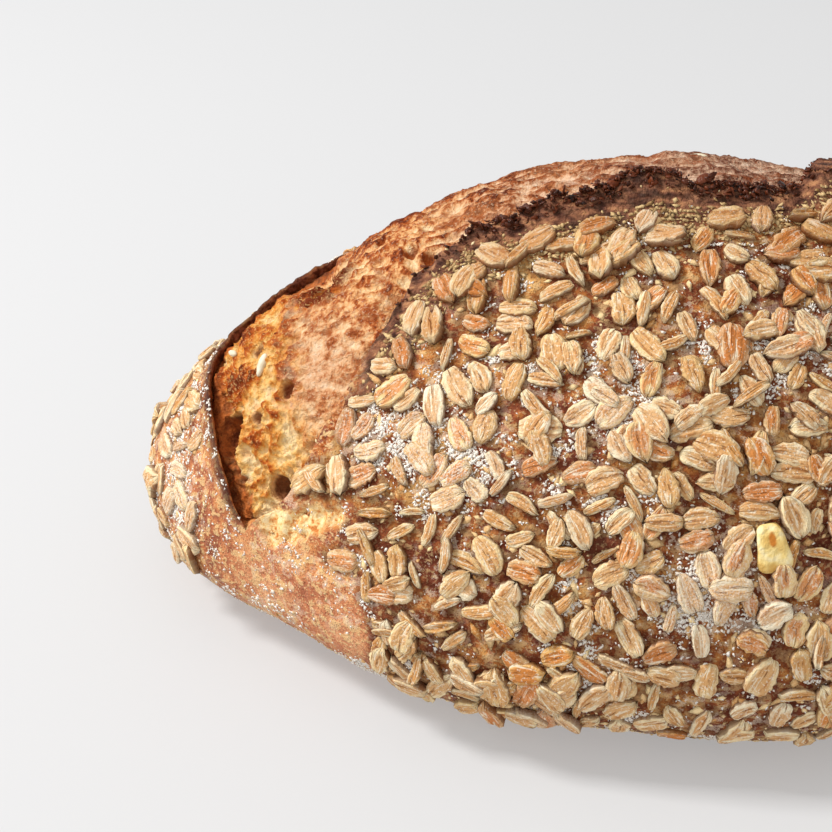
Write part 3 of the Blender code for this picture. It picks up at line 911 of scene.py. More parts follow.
def grain_shape(rng, split):
    """One flattened grain, its long axis on X: points, and its along and across values."""
    steps = np.linspace(-1.0, 1.0, GRAIN_COLUMNS)
    along, across = np.meshgrid(steps, np.array(GRAIN_ACROSS), indexing="ij")
    lean = rng.uniform(-0.22, 0.22)
    taper = np.clip(1.0 - np.abs(along + lean * (1.0 - along**2)) ** rng.uniform(2.0, 3.0), 0.0, 1.0)
    taper = taper ** rng.uniform(0.50, 0.72)
    ragged = 1.0 + 0.08 * rng.normal(0.0, 1.0, along.shape) * (np.abs(across) > 0.8)
    width = GRAIN_WIDTH * (rng.uniform(0.42, 0.68) if split else rng.uniform(0.82, 1.16))
    bend = rng.uniform(-0.07, 0.07) * GRAIN_LENGTH * (1.0 - along**2)
    y = width / 2.0 * across * taper * ragged + bend
    jagged = 1.0 + 0.04 * rng.normal(0.0, 1.0, along.shape) * (np.abs(along) > 0.9)
    x = GRAIN_LENGTH / 2.0 * along * jagged
    margin = rng.uniform(-0.25, 0.45) * smooth_step(np.abs(across), 0.2, 0.8)
    plateau = (1.0 - 0.60 * np.abs(across) ** 9.0) * (1.0 - 0.6 * np.abs(along) ** 6.0) * (0.85 + margin)
    thickness = GRAIN_THICKNESS * rng.uniform(0.8, 1.25)
    crease = np.exp(-(((across - rng.uniform(-0.3, 0.3)) / rng.uniform(0.12, 0.35)) ** 2))
    crease = crease * (1.0 - along**4) * (0.0 if split else rng.choice((0.0, 0.15, 0.45)))
    spots = np.stack((along * 1.3, across * 2.8, along * 0.0), axis=-1) + rng.random(3) * 90.0
    waves = 0.18 * smooth_noise(spots) + 0.04 * rng.normal(0.0, 1.0, along.shape)
    z = thickness * plateau * (1.0 - crease + waves)
    z = z + rng.uniform(-0.25, 0.35) * GRAIN_THICKNESS * along**2 + 0.1 * thickness
    rim = (np.abs(across) > 0.99) | (np.abs(along) > 0.99)
    z = np.where(rim, -GRAIN_SINK, z) + rng.uniform(-0.08, 0.08) * x + rng.uniform(-0.14, 0.14) * y
    points = np.stack((x, y, z), axis=-1).reshape(-1, 3)
    middle = np.array(((0.0, 0.0, -GRAIN_SINK),))
    points = np.concatenate((points, middle))
    return points, np.append(along.ravel(), 0.0), np.append(across.ravel(), 0.0)


def grain_faces():
    """Corners and sizes of one closed grain's faces: a grid on top and a fan below."""
    columns, rows = GRAIN_COLUMNS, len(GRAIN_ACROSS)
    numbers = np.arange(columns * rows).reshape(columns, rows)
    ring = np.concatenate((numbers[:-1, 0], numbers[-1, :-1], numbers[:0:-1, -1], numbers[0, :0:-1]))
    middle = np.full(len(ring), columns * rows)
    fan = np.stack((middle, np.roll(ring, -1), ring), axis=1)
    quads = grid_loops(columns, rows, closed=False)
    return np.concatenate((quads.ravel(), fan.ravel())), np.repeat((4, 3), (len(quads), len(fan)))


GRAIN_KINDS = (  # name, share of all grains, whether they are split halves
    ("grains_tan", 0.56, False),
    ("grains_russet", 0.22, False),
    ("grains_split", 0.22, True),
)
RUSSET_STARTS = -0.100  # no russet grains lie to the left of here


def build_grains(rng, grains):
    """All grains, as one mesh for each of their kinds."""
    points, normals, angles, sizes, riding, toast = grains
    dusty = flour_amount(points)
    first, second = tangent_frames(normals, angles)
    kinds = rng.choice(len(GRAIN_KINDS), len(points), p=[share for _, share, _ in GRAIN_KINDS])
    kinds[(points[:, 0] < RUSSET_STARTS) & (kinds == 1)] = 0
    corners, face_sizes = grain_faces()
    pieces = []
    for kind, (name, _, split) in enumerate(GRAIN_KINDS):
        members = np.nonzero(kinds == kind)[0]
        world, values = [], {"along": [], "across": [], "tone": [], "toast": [], "dusty": []}
        for number in members:
            shape, along, across = grain_shape(rng, split)
            shape = shape * sizes[number]
            lift = 0.0001
            if riding[number]:
                tips, sides = shape[:, 0] * rng.uniform(-0.15, 0.15), shape[:, 1] * rng.uniform(-0.2, 0.2)
                lift = 0.0010 + tips + sides
            shape[:, 2] += lift
            axes = first[number], second[number], normals[number]
            world.append(moved_inside(laid(points[number], shape, *axes)))
            for label, value in zip(values, (along, across, rng.random(), toast[number], dusty[number])):
                values[label].append(np.broadcast_to(value, len(shape)))
        count = len(members)
        shift = np.arange(count)[:, None] * len(shape)
        all_corners = (corners[None] + shift).ravel()
        piece = new_mesh(name, np.concatenate(world), all_corners, np.tile(face_sizes, count))
        for label, parts in values.items():
            add_values(piece, label, np.concatenate(parts))
        pieces.append(piece)
    return pieces


LOW = np.array(CAD_BOX[0]) - TO_ORIGIN
HIGH = np.array(CAD_BOX[1]) - TO_ORIGIN


def inside_box(points):
    """Points pulled inside the part's own box one by one."""
    return np.clip(points, LOW, HIGH)


def moved_inside(points):
    """One small piece's points, moved together until all are inside the part's box."""
    over = np.maximum(points.max(axis=0) - HIGH, 0.0)
    under = np.maximum(LOW - points.min(axis=0), 0.0)
    return points + under - over


def laid(spot, shape, first, second, normal):
    """A shape's points about a spot, its x along first, y along second and z along the normal."""
    return spot + shape[..., :1] * first + shape[..., 1:2] * second + shape[..., 2:] * normal


def copies_mesh(name, shapes, faces):
    """One mesh of many small closed shapes, with the same triangles in each."""
    corners = faces[None] + (np.arange(len(shapes)) * len(shapes[0]))[:, None, None]
    return new_mesh(name, np.concatenate(shapes), corners.ravel(), np.full(len(shapes) * len(faces), 3))


OCTAHEDRON = (
    np.array(((1, 0, 0), (-1, 0, 0), (0, 1, 0), (0, -1, 0), (0, 0, 1), (0, 0, -1)), float),
    np.array(((0, 2, 4), (2, 1, 4), (1, 3, 4), (3, 0, 4), (2, 0, 5), (1, 2, 5), (3, 1, 5), (0, 3, 5))),
)
TETRAHEDRON = (
    np.array(((1, 1, 1), (1, -1, -1), (-1, 1, -1), (-1, -1, 1)), float) * 0.7,
    np.array(((0, 1, 2), (0, 3, 1), (0, 2, 3), (1, 3, 2))),
)


def build_specks(name, rng, solid, points, normals, sizes, stretch, flatness):
    """Tiny uneven crumbs at points: flat to the surface, stretched by up to stretch."""
    count = len(points)
    corners, faces = solid
    first, second = tangent_frames(normals, rng.random(count) * 2.0 * math.pi)
    shape = corners[None] * (0.7 + 0.6 * rng.random((count, len(corners), 1)))
    long_side = sizes * (1.0 + (stretch - 1.0) * rng.random(count))
    shape = shape * np.stack((long_side, sizes, sizes * flatness), axis=-1)[:, None]
    world = laid(points[:, None], shape, first[:, None], second[:, None], normals[:, None])
    piece = copies_mesh(name, inside_box(world), faces)
    add_values(piece, "tone", np.repeat(rng.random(count), len(corners)))
    return piece


def ball_shape(rounds):
    """Points and faces of a ball, finer with more rounds: 20 triangles for 1, 80 for 2."""
    work = bmesh.new()
    bmesh.ops.create_icosphere(work, subdivisions=rounds, radius=1.0)
    points = np.array([vertex.co[:] for vertex in work.verts])
    faces = np.array([[vertex.index for vertex in face.verts] for face in work.faces])
    work.free()
    return points, faces


CHAR_SHARDS = 2600
CHAR_CRUMBS = 220
FAR_CHAR = 50  # burnt crumbs on the far lip
CRUMB_SQUASH = 0.35


def crumbs_mesh(name, rng, ball, places, normals, sizes):
    """Dented crumbs at places, each squashed and turned its own way, as one mesh."""
    shape, faces = ball
    all_points = []
    for place, normal, size in zip(places, normals, sizes):
        dents = 1.0 + 0.6 * smooth_noise(shape * 1.7 + rng.random(3) * 50.0)
        sides = np.array((1.0 + 0.6 * rng.random() ** 2, 0.9, CRUMB_SQUASH)) * size
        turn = np.array(Matrix.Rotation(rng.random() * 6.3, 3, Vector(rng.normal(0.0, 1.0, 3))))
        turned = (shape * dents[:, None] * sides) @ turn
        all_points.append(moved_inside(place + normal * size * 0.4 + turned))
    piece = copies_mesh(name, all_points, faces)
    add_values(piece, "tone", np.repeat(rng.random(len(places)), len(shape)))
    return piece


def build_char(rng, skin):
    """Burnt crumbs, blisters and shards along the ear's ragged edge, and a few on the far lip."""
    x = skin.point[:, -1, 0]
    rough = smooth_step(line_noise(x, 0.010, 3.5), -0.6, 0.4) * smooth_step(x, -0.062, -0.040)
    weight = skin.ear[:, -1] * (0.12 + rough + curl_share(x)) * np.abs(np.gradient(x))
    count = CHAR_SHARDS + CHAR_CRUMBS
    picks = rng.choice(len(x), count, p=weight / weight.sum())
    back = 1 + rng.integers(0, 5, count) * (rng.random(count) < 0.45)
    places = skin.point[picks, -back] + rng.normal(0.0, 0.00045, (count, 3))
    normals = skin.normal[picks, -1]
    far_weight = hump(x, -0.050, -0.040, -0.020, -0.005)
    far = rng.choice(len(x), FAR_CHAR, p=far_weight / far_weight.sum())
    far_places = skin.point[far, 1] - skin.normal[far, 1] * 0.0004
    places = np.concatenate((places, far_places))
    normals = np.concatenate((normals, skin.normal[far, 1]))
    small = 0.00024 + 0.0006 * rng.random(CHAR_SHARDS) ** 2.0
    large = 0.0005 + 0.0008 * rng.random(CHAR_CRUMBS) ** 2.0
    sizes = np.concatenate((small, large, 0.0004 + 0.0006 * rng.random(FAR_CHAR)))
    split = slice(CHAR_SHARDS, count)
    rest = np.r_[0:CHAR_SHARDS, count : count + FAR_CHAR]
    kinds = (("char_shards", 1, rest), ("char_crumbs", 2, split))
    return [
        crumbs_mesh(name, rng, ball_shape(rounds), places[own], normals[own], sizes[own])
        for name, rounds, own in kinds
    ]


SEEDS = (  # hulled seeds caught in the crumb: place, turn in degrees, length
    ((-0.1000, -0.0240, 0.0690), 118.0, 0.0076),
    ((-0.1100, -0.0140, 0.0660), 20.0, 0.0050),
    ((0.0010, 0.0100, 0.1130), 60.0, 0.0050),
    ((0.0560, 0.0080, 0.1010), 10.0, 0.0055),
)


def build_seeds(top, normal):
    """A few pale hulled seeds, half sunk in the crumb."""
    shape, faces = ball_shape(2)
    flat, normals = top.reshape(-1, 3), normal.reshape(-1, 3)
    all_points = []
    for place, turn, length in SEEDS:
        nearest = nearest_to(flat, place)
        first, second = tangent_frames(normals[nearest][None], np.array([math.radians(turn)]))
        pointed = shape * (1.0 - 0.35 * shape[:, :1] * (shape[:, :1] > 0.0))
        scaled = pointed * np.array((length / 2.0, length * 0.17, length * 0.14))
        spot = flat[nearest] + normals[nearest] * length * 0.10
        all_points.append(laid(spot, scaled, first, second, normals[nearest]))
    return copies_mesh("crumb_seeds", all_points, faces)


def build_chunk(skin):
    """The pale, boxy chunk of grain that lies among the flakes."""
    shape, faces = ball_shape(4)
    place, halves = CHUNK
    flat, normals = skin.point.reshape(-1, 3), skin.normal.reshape(-1, 3)
    nearest = nearest_to(flat, place)
    first, second = tangent_frames(normals[nearest][None], np.array([math.radians(100.0)]))
    boxy = shape / (np.sum(np.abs(shape) ** 3.5, axis=1, keepdims=True) ** (1.0 / 3.5))
    boxy = boxy * (1.0 + 0.10 * smooth_noise(boxy * 1.3 + 4.0))[:, None]
    boxy[:, 1] = boxy[:, 1] * (1.0 - 0.18 * boxy[:, 0])
    scaled = boxy * np.array(halves)
    spot = flat[nearest] + normals[nearest] * 0.0006
    piece = copies_mesh("pale_chunk", [laid(spot, scaled, first, second, normals[nearest])], faces)
    germ = np.exp(-(((boxy[:, 0] - 0.35) / 0.38) ** 2) - ((boxy[:, 1] / 0.30) ** 2)) * (boxy[:, 2] > 0.0)
    add_values(piece, "germ", germ)
    return piece


def linear(red, green, blue):
    """A screen colour of 0 to 255 as the shader's linear colour."""
    shares = [value / 255.0 for value in (red, green, blue)]
    return (*(x / 12.92 if x <= 0.04045 else ((x + 0.055) / 1.055) ** 2.4 for x in shares), 1.0)


class Shading:
    """A small helper that adds and links shader nodes. Its colours are red, green, blue of 0 to 255."""

    def __init__(self, name):
        self.material = bpy.data.materials.new(name)
        self.material.use_nodes = True
        self.nodes = self.material.node_tree.nodes
        self.links = self.material.node_tree.links
        self.shader = self.nodes["Principled BSDF"]
        self.place = self.nodes.new("ShaderNodeTexCoord").outputs["Object"]

    def put(self, socket, value):
        if isinstance(value, bpy.types.NodeSocket):
            self.links.new(value, socket)
        else:
            socket.default_value = value

    def paint(self, socket, colour):
        self.put(socket, linear(*colour) if isinstance(colour, tuple) else colour)

    def node(self, kind, inputs, **settings):
        """A new node with its settings, and its inputs set or linked."""
        node = self.nodes.new("ShaderNode" + kind)
        for name, value in settings.items():
            setattr(node, name, value)
        for name, value in inputs.items():
            self.put(node.inputs[name], value)
        return node

    def value(self, name):
        """A number that the mesh keeps for each of its points."""
        return self.node("Attribute", {}, attribute_type="GEOMETRY", attribute_name=name).outputs["Fac"]

    def noise(self, scale, detail=2.0, stretch=None):
        place = self.place
        if stretch is not None:
            place = self.node("Mapping", {"Vector": place, "Scale": stretch}).outputs["Vector"]
        return self.node("TexNoise", {"Vector": place, "Scale": scale, "Detail": detail}).outputs["Fac"]

    def streaks(self, values, stretch, detail):
        """Noise in a grain's own along and across, different for each grain."""
        axes = {axis: self.times(value, factor) for axis, value, factor in zip("XYZ", values, stretch)}
        place = self.node("CombineXYZ", axes).outputs["Vector"]
        return self.node("TexNoise", {"Vector": place, "Scale": 1.0, "Detail": detail}).outputs["Fac"]

    def cells(self, scale):
        """Distance from the middle of the nearest of many small cells."""
        return self.node("TexVoronoi", {"Vector": self.place, "Scale": scale}).outputs["Distance"]

    def ramp(self, value, *stops):
        """Colour along stops of position, red, green and blue."""
        node = self.node("ValToRGB", {"Fac": value})
        elements = node.color_ramp.elements
        while len(elements) < len(stops):
            elements.new(0.5)
        for element, (position, *colour) in zip(elements, stops):
            element.position = position
            element.color = linear(*colour)
        return node.outputs["Color"]

    def step(self, value, low, high, to_low=0.0, to_high=1.0):
        """A smooth rise from to_low, where the value is low, to to_high."""
        inputs = {"Value": value, "From Min": low, "From Max": high, "To Min": to_low, "To Max": to_high}
        return self.node("MapRange", inputs, interpolation_type="SMOOTHSTEP").outputs["Result"]

    def math(self, operation, first, second=0.0):
        return self.node("Math", {0: first, 1: second}, operation=operation).outputs["Value"]

    def times(self, first, second):
        return self.math("MULTIPLY", first, second)

    def add(self, first, second):
        return self.math("ADD", first, second)

    def blend(self, first, share, second, other):
        """Sum of a share of the first and another of the second."""
        return self.add(self.times(first, share), self.times(second, other))

    def shake(self, value, noise, share):
        """The value with a share of the noise, taken about its middle, added."""
        return self.add(value, self.times(self.math("SUBTRACT", noise, 0.5), share))

    def mix(self, amount, first, second):
        node = self.node("Mix", {"Factor": amount}, data_type="RGBA")
        self.paint(node.inputs["A"], first)
        self.paint(node.inputs["B"], second)
        return node.outputs["Result"]

    def coats(self, colour, *coats):
        """The colour under coats of: value, where it starts, where it is thickest, how thick, colour."""
        for value, low, high, thick, coat in coats:
            colour = self.mix(self.step(value, low, high, 0.0, thick), colour, coat)
        return colour

    def bump(self, height, distance, before=None):
        inputs = {"Strength": 1.0, "Distance": distance, "Height": height}
        if before is not None:
            inputs["Normal"] = before
        return self.node("Bump", inputs).outputs["Normal"]

    def finish(self, colour, roughness, normal, gloss=0.2):
        self.paint(self.shader.inputs["Base Color"], colour)
        self.put(self.shader.inputs["Roughness"], roughness)
        self.shader.inputs["Specular IOR Level"].default_value = gloss
        if normal is not None:
            self.links.new(normal, self.shader.inputs["Normal"])
        return self.material


def crust_material():
    """Baked rye crust: red-brown with golden and purple-brown mottling, flour and a charred ear."""
    s = Shading("rye_crust")
    middle, fine = s.noise(340.0, 4.0), s.noise(1500.0, 2.0)
    mottle = s.blend(s.noise(75.0, 3.0), 0.55, middle, 0.45)
    colour = s.ramp(
        mottle,
        (0.36, 92, 46, 36), (0.43, 138, 76, 56), (0.49, 174, 98, 58),
        (0.56, 208, 134, 70), (0.64, 238, 182, 110),
    )
    # Paler crust at the lower left and the left end: its own colour and painted light.
    pale = ((0.36, 178, 100, 68), (0.46, 206, 130, 90), (0.56, 224, 156, 112), (0.66, 242, 192, 144))
    colour = s.mix(s.value("pale"), colour, s.ramp(mottle, *pale))
    flecks = s.noise(520.0, 4.0, stretch=(0.6, 1.0, 1.0))
    colour = s.coats(
        colour,
        (flecks, 0.535, 0.575, 0.66, (236, 196, 138)),
        (fine, 0.57, 0.62, 0.5, (246, 212, 156)),
        (s.noise(2300.0, 1.0), 0.60, 0.68, 0.6, (86, 38, 22)),
    )
    # painted shade round the grains, partly the crust's own darker colour there, and a darker crust
    # towards the lower right
    shade = s.times(s.value("shade"), s.step(middle, 0.30, 0.70, 0.85, 0.42))
    colour = s.mix(shade, colour, (84, 34, 11))
    flour = s.add(s.value("flour"), s.step(s.noise(45.0, 2.0), 0.50, 0.66, 0.0, 0.30))
    dust = s.times(s.noise(3600.0, 2.0), s.step(s.noise(420.0, 4.0), 0.42, 0.62))
    dust = s.times(flour, s.step(dust, 0.30, 0.48, 0.0, 1.3))
    colour = s.mix(s.math("MINIMUM", dust, 0.36), colour, (242, 222, 198))
    stretched = s.noise(560.0, 5.0, stretch=(0.45, 1.0, 1.0))
    burnt = s.ramp(
        stretched, (0.36, 58, 34, 28), (0.46, 98, 62, 48), (0.56, 140, 92, 68), (0.68, 186, 132, 92)
    )
    colour = s.mix(s.times(s.value("char"), 0.95), colour, burnt)
    cave = s.ramp(middle, (0.35, 120, 54, 26), (0.50, 184, 100, 48), (0.64, 232, 158, 88))
    colour = s.mix(s.value("inner"), colour, cave)
    # The lip's underside: streaky toasted brown and painted shade, thicker deeper into the crevice.
    streaky = s.ramp(s.noise(700.0, 4.0), (0.42, 56, 28, 22), (0.60, 132, 84, 66))
    colour = s.mix(s.times(s.value("burnt_lip"), 0.9), colour, streaky)
    colour = s.mix(s.times(s.value("lip"), 0.85), colour, (66, 38, 32))
    frayed = s.blend(middle, 0.45, s.noise(1000.0, 4.0), 0.55)
    bare = s.ramp(frayed, (0.42, 250, 224, 174), (0.52, 244, 204, 138), (0.61, 210, 128, 64))
    colour = s.mix(s.value("tear"), colour, bare)
    height = s.add(s.blend(fine, 0.4, middle, 0.6), s.times(flecks, 0.4))
    height = s.add(height, s.times(s.value("char"), s.noise(900.0, 3.0)))
    normal = s.bump(s.noise(2600.0, 2.0), 0.00022, s.bump(height, 0.0010))
    roughness = s.math("MAXIMUM", s.step(middle, 0.3, 0.7, 0.40, 0.62), s.times(dust, 0.9))
    return s.finish(colour, roughness, normal, 0.07)


def open_colour(s, fine, deep):
    """Wide open crumb: cream in its hollows, golden and toasted on its ridges, dark in the holes with
    painted shade, scorched at the burnt hole.
    """
    lit = s.shake(s.value("high"), s.noise(110.0, 4.0), 1.3)
    lit = s.shake(lit, s.noise(450.0, 4.0), 0.9)
    cream = s.ramp(
        lit,
        (0.05, 242, 212, 160), (0.28, 238, 190, 116), (0.48, 218, 144, 62),
        (0.66, 182, 86, 26), (0.88, 116, 46, 14),
    )
    # the holes' dark floor is painted shade, scorched red-brown at the burnt hole and the red spot
    hollow = s.mix(s.value("scorched"), (122, 70, 40), (96, 34, 10))
    return s.coats(
        cream,
        (fine, 0.54, 0.64, 0.4, (248, 206, 136)),
        # deeper in a bubble the crumb turns orange, then dark: painted shade
        (deep, 0.25, 0.70, 0.55, (214, 138, 66)),
        (deep, 0.60, 1.20, 0.95, hollow),
    )


def blistered_colour(s, middle, fine, deep):
    """The rest of the crumb: pink-tan, golden at the left and ashen at the right, with toasted ridges."""
    baked = s.shake(s.value("toast"), middle, 0.8)
    baked = s.shake(baked, s.noise(950.0, 3.0), 0.7)
    bloom = s.ramp(
        baked,
        (0.20, 240, 214, 188), (0.38, 230, 194, 162), (0.56, 212, 164, 126),
        (0.72, 164, 92, 48), (0.88, 96, 40, 18),
    )
    gold = s.ramp(
        baked,
        (0.18, 246, 214, 164), (0.37, 240, 194, 136), (0.56, 222, 158, 96),
        (0.72, 176, 86, 32), (0.88, 104, 40, 14),
    )
    ash = s.ramp(baked, (0.24, 234, 212, 190), (0.55, 198, 164, 140), (0.84, 112, 66, 46))
    bloom = s.mix(s.times(s.value("golden"), 0.85), bloom, gold)
    bloom = s.mix(s.times(s.value("ashen"), 0.8), bloom, ash)
    veins = s.noise(300.0, 4.0, stretch=(0.35, 1.0, 1.0))
    return s.coats(
        bloom,
        (s.noise(60.0, 3.0), 0.46, 0.66, 0.25, (208, 142, 90)),
        (s.noise(170.0, 3.0), 0.58, 0.68, 0.65, (138, 64, 26)),
        (veins, 0.55, 0.62, 0.6, (148, 74, 34)),
        (fine, 0.56, 0.66, 0.35, (236, 204, 170)),
        # painted shade in the bubbles' dimples
        (deep, 0.15, 0.7, 0.8, (164, 84, 36)),
    )


def crumb_material():
    """Torn crumb: cream and golden where open, pink-tan with toasted wrinkles on the rest."""
    s = Shading("torn_crumb")
    opened, deep = s.value("opened"), s.value("deep")
    middle, fine = s.noise(380.0, 3.0), s.noise(1500.0, 3.0)
    colour = s.mix(opened, blistered_colour(s, middle, fine, deep), open_colour(s, fine, deep))
    # along the rims the crumb is toasted brown, with painted shade where it meets the lip and runs under
    # the ear
    toast_and_shade = s.ramp(middle, (0.38, 104, 44, 20), (0.60, 184, 98, 44))
    colour = s.coats(colour, (s.shake(s.value("beside"), middle, 1.1), 0.45, 0.75, 0.9, toast_and_shade))
    pores = s.times(s.cells(480.0), s.times(opened, 0.8))
    normal = s.bump(s.add(s.blend(fine, 0.8, middle, 0.6), pores), 0.0010)
    normal = s.bump(s.noise(3200.0, 2.0), 0.00020, normal)
    s.shader.inputs["Subsurface Weight"].default_value = 0.05
    s.shader.inputs["Subsurface Radius"].default_value = (1.0, 0.5, 0.25)
    s.shader.inputs["Subsurface Scale"].default_value = 0.0010
    return s.finish(colour, 0.60, normal, 0.10)


TAN = ((0.00, 240, 208, 152), (0.35, 248, 226, 182), (0.65, 220, 178, 118), (1.00, 250, 234, 200))
RUSSET = ((0.00, 234, 182, 108), (0.40, 208, 160, 116), (0.70, 246, 212, 150), (1.00, 198, 146, 102))
GRAIN_LOOKS = {  # colours from grain to grain, and the colour of a grain's warm patches
    "grains_tan": (TAN, (216, 158, 98)),
    "grains_russet": (RUSSET, (210, 122, 52)),
    "grains_split": (TAN, (214, 146, 76)),
}


def grain_material(name):
    """Flattened grain: wrinkles along it, warm patches, a rim of toasted brown and painted shade, and a
    dusting of flour.
    """
    s = Shading(name)
    stops, patch = GRAIN_LOOKS[name]
    along, across, tone = (s.value(label) for label in ("along", "across", "tone"))
    side, end = s.math("ABSOLUTE", across), s.math("ABSOLUTE", along)
    patches = s.streaks((along, across, tone), (0.9, 1.3, 60.0), 2.0)
    wrinkles = s.streaks((along, across, tone), (1.1, 3.6, 90.0), 3.0)
    reach = s.shake(s.math("MAXIMUM", side, end), patches, 1.8)
    crease = s.math("ABSOLUTE", s.shake(across, patches, 1.2))
    crease = s.times(s.step(crease, 0.10, 0.02), s.step(wrinkles, 0.48, 0.60))
    colour = s.coats(
        s.ramp(tone, *stops),
        (reach, 0.85, 0.45, 0.8, patch),
        (wrinkles, 0.45, 0.31, 0.72, (255, 242, 214)),
        (wrinkles, 0.55, 0.64, 0.65, (176, 108, 52)),
    )
    colour = s.mix(s.times(crease, 0.6), colour, (156, 88, 42))
    colour = s.coats(colour, (s.noise(1700.0, 2.0), 0.58, 0.64, 0.45, (255, 246, 224)))
    # the rim's dark brown is partly the grain's toasted edge and partly painted shade at its sunk sides
    rim = s.math("MAXIMUM", s.step(side, 0.90, 1.0), s.step(end, 0.92, 1.0))
    colour = s.mix(s.times(rim, 0.85), colour, (104, 50, 22))
    colour = s.mix(s.times(s.value("toast"), 0.42), colour, (150, 88, 40))
    powder = s.times(s.value("dusty"), s.step(s.noise(2300.0, 2.0), 0.44, 0.60, 0.06, 0.62))
    colour = s.mix(powder, colour, (246, 232, 214))
    height = s.blend(wrinkles, 1.2, s.noise(1600.0, 2.0), 0.5)
    height = s.math("SUBTRACT", height, s.times(crease, 0.5))
    return s.finish(colour, 0.55, s.bump(height, 0.0007), 0.06)


def speck_material(name, low, high, roughness):
    """Flour, bran or char: one colour running to another from crumb to crumb."""
    s = Shading(name)
    colour = s.ramp(s.value("tone"), (0.0, *low), (1.0, *high))
    colour = s.coats(colour, (s.noise(1800.0, 2.0), 0.45, 0.65, 0.4, high))
    return s.finish(colour, roughness, s.bump(s.noise(2400.0, 2.0), 0.0002))


def chunk_material():
    """Cream grain with a brown germ."""
    s = Shading("pale_chunk")
    cream = ((0.35, 230, 186, 104), (0.50, 248, 218, 142), (0.65, 255, 238, 190))
    colour = s.ramp(s.noise(300.0, 4.0), *cream)
    germ = s.shake(s.value("germ"), s.noise(500.0, 3.0), 0.7)
    colour = s.mix(s.step(germ, 0.35, 0.75), colour, (206, 128, 52))
    return s.finish(colour, 0.6, s.bump(s.noise(500.0, 4.0), 0.0010), 0.1)


def seed_material():
    """Pale hulled seed with faint lines."""
    s = Shading("hulled_seed")
    lines = s.noise(300.0, 2.0)
    colour = s.ramp(lines, (0.35, 200, 184, 150), (0.65, 238, 228, 204))
    return s.finish(colour, 0.45, s.bump(lines, 0.0003))


def dress(piece, material):
    """Gives a piece its material and ties it to the loaf."""
    piece.data.materials.append(material)
    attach(piece, "root")
    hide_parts("loaf")


def flour_weight(skin):
    """How likely a flour speck lies at each point of the skin."""
    point, amount = skin.point, flour_amount(skin.point)
    clusters = rough_noise(point / 0.009 + 61.0, 3) + 0.9 * smooth_noise(point / 0.0024 + 81.0)
    lying = amount * 1.2 + 3.2 * amount**3 + 0.05
    lying = lying * (0.3 + 0.9 * smooth_step(clusters, -0.1, 0.5))
    lying = lying + 2.0 * smooth_step(clusters, 0.35, 0.9)
    lying = lying * np.where(point[..., 1] > 0.0, 0.4, 1.0)
    lying = lying * (0.65 + 0.35 * smooth_step(point[..., 0], -0.115, -0.100))
    lying = lying * (1.0 - 0.92 * near_place(point, (-0.090, -0.058, 0.022), 0.028))
    return lying * smooth_step(skin.from_ear, 0.004, 0.009) * smooth_step(point[..., 2], 0.002, 0.010)


def speck_weights(skin):
    """How likely each kind of speck lies at each point of the skin, in the order of SPECKS."""
    x, height = skin.point[..., 0], skin.point[..., 2]
    foot = hump(height, 0.001, 0.004, 0.010, 0.024) * (0.2 + 0.8 * smooth_step(x, -0.075, -0.045))
    inset = skin.from_ear + 0.0014 * (1.0 - smooth_step(x, -0.055, -0.035))
    band = skin.ear * hump(inset, 0.0034, 0.0056, 0.008, 0.013)
    return flour_weight(skin), foot * 1.6 + 0.10, grain_density(skin) + 0.3 * foot, band


SPECKS = (  # name, number, shape, least size, spread of sizes, stretch, flatness, material
    ("flour_specks", 36000, TETRAHEDRON, 0.00022, 0.00032, 1.4, 0.8,
     ("flour", (244, 232, 216), (255, 250, 242), 0.9)),
    ("bran_flakes", 5200, OCTAHEDRON, 0.00022, 0.00036, 2.2, 0.6,
     ("bran", (168, 126, 70), (252, 228, 180), 0.8)),
    ("bran_chips", 1900, OCTAHEDRON, 0.0005, 0.0008, 2.8, 0.25,
     ("chips", (200, 134, 66), (252, 224, 170), 0.7)),
    ("ear_bran", 3600, OCTAHEDRON, 0.00022, 0.0005, 3.0, 0.3,
     ("toasted_bran", (136, 98, 56), (226, 194, 140), 0.8)),
)


def build_loaf():
    """Makes every piece of the loaf."""
    rng = np.random.default_rng(SEED)
    chart = Chart(STATIONS, 0.6)
    skin = Skin(chart)
    grains = spread_grains(rng, skin)
    dress(build_crust(chart, skin, grains), crust_material())
    crumb, top, normal = build_crumb(Chart(CRUMB_STATIONS, 1.6), rng)
    dress(crumb, crumb_material())
    for piece in build_grains(rng, grains):
        dress(piece, grain_material(piece.name))
    for weight, kind in zip(speck_weights(skin), SPECKS):
        name, count, solid, least, spread, stretch, flatness, look = kind
        points, normals, _ = pick_places(rng, skin, weight, count)
        sizes = least + spread * rng.random(count) ** 2
        specks = build_specks(name, rng, solid, points, normals, sizes, stretch, flatness)
        dress(specks, speck_material(*look))
    charred = speck_material("char", (26, 15, 12), (112, 54, 28), 0.30)
    for piece in build_char(rng, skin):
        dress(piece, charred)
    dress(build_chunk(skin), chunk_material())
    dress(build_seeds(top, normal), seed_material())


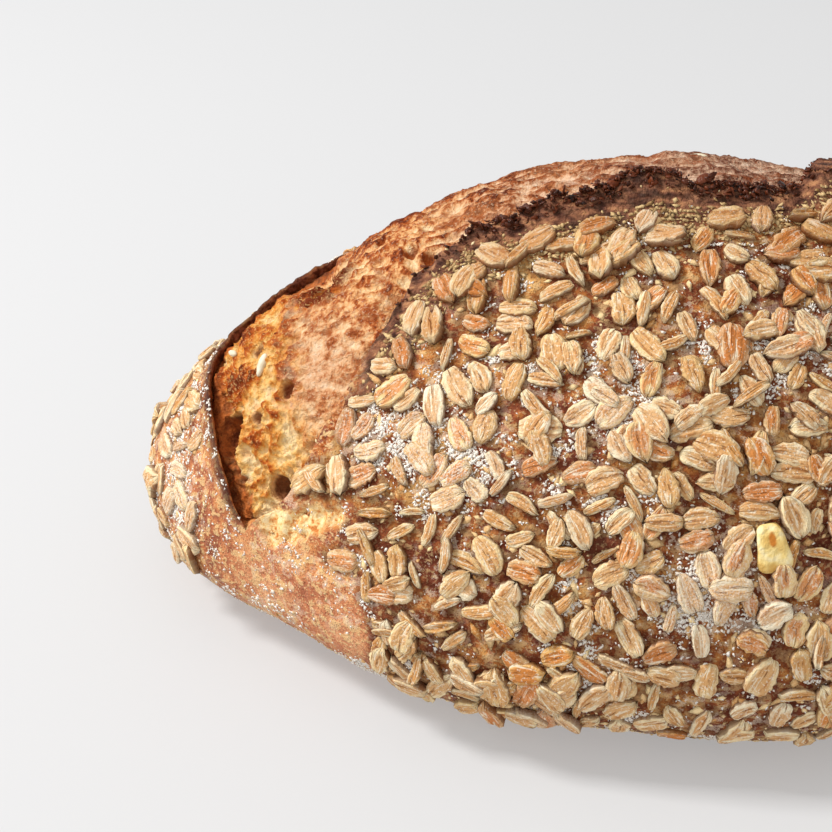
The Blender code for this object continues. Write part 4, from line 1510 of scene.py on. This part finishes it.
FLOOR_SIZE = 6.0
FLOOR_COLOUR = (167, 167, 168)
FLOOR_GLOW = 0.33  # keeps the shadow on the floor pale and free of the bread's own colour
ROOM_LIGHT = 0.60
LIGHT_COLOUR = (1.0, 0.995, 0.98)
LIGHT_TARGET = (0.0, 0.0, 0.05)
LIGHTS = (  # name, place, size and watts of the window at the upper left and a faint fill in front
    ("window", (-1.0, -0.02, 1.05), 0.30, 18.5),
    ("fill", (0.0, -1.2, 0.9), 1.0, 2.0),
)


def stage_material():
    """Plain pale floor."""
    s = Shading("pale_floor")
    s.shader.inputs["Emission Color"].default_value = (1.0, 1.0, 1.0, 1.0)
    s.shader.inputs["Emission Strength"].default_value = FLOOR_GLOW
    return s.finish(FLOOR_COLOUR, 0.7, None, 0.0)


def build_stage():
    """A plain pale floor under the loaf."""
    corners = FLOOR_SIZE * np.array(((-1, -1, 0), (1, -1, 0), (1, 1, 0), (-1, 1, 0)))
    floor = new_mesh("floor", corners - TO_ORIGIN, np.arange(4), np.array([4]))
    floor.data.materials.append(stage_material())


def add_light(name, place, size, watts):
    """A square soft light at a place, facing the loaf."""
    data = bpy.data.lights.new(name, "AREA")
    data.shape = "SQUARE"
    data.size = size
    data.energy = watts
    data.color = LIGHT_COLOUR
    light = bpy.data.objects.new(name, data)
    light.location = place
    light.rotation_euler = (Vector(LIGHT_TARGET) - Vector(place)).to_track_quat("-Z", "Y").to_euler()
    bpy.context.scene.collection.objects.link(light)


def build_lights():
    """Soft window light from the upper left, in a bright white room."""
    world = bpy.data.worlds.new("room")
    world.use_nodes = True
    world.node_tree.nodes["Background"].inputs["Color"].default_value = (1.0, 1.0, 1.0, 1.0)
    world.node_tree.nodes["Background"].inputs["Strength"].default_value = ROOM_LIGHT
    bpy.context.scene.world = world
    for name, place, size, watts in LIGHTS:
        add_light(name, place, size, watts)
    bpy.context.scene.view_settings.view_transform = "Standard"


def build_camera():
    """The camera at the photograph's viewing angle."""
    data = bpy.data.cameras.new("camera")
    data.lens = CAMERA_LENS
    data.sensor_width = SENSOR_WIDTH
    camera = bpy.data.objects.new("camera", data)
    camera.location = Vector(CAMERA_PLACE) + Vector(TO_ORIGIN)
    camera.rotation_euler = (math.radians(90.0 - CAMERA_ELEVATION), 0.0, math.radians(CAMERA_TURN))
    bpy.context.scene.collection.objects.link(camera)
    bpy.context.scene.camera = camera


build_camera()
build_stage()
build_lights()
build_loaf()
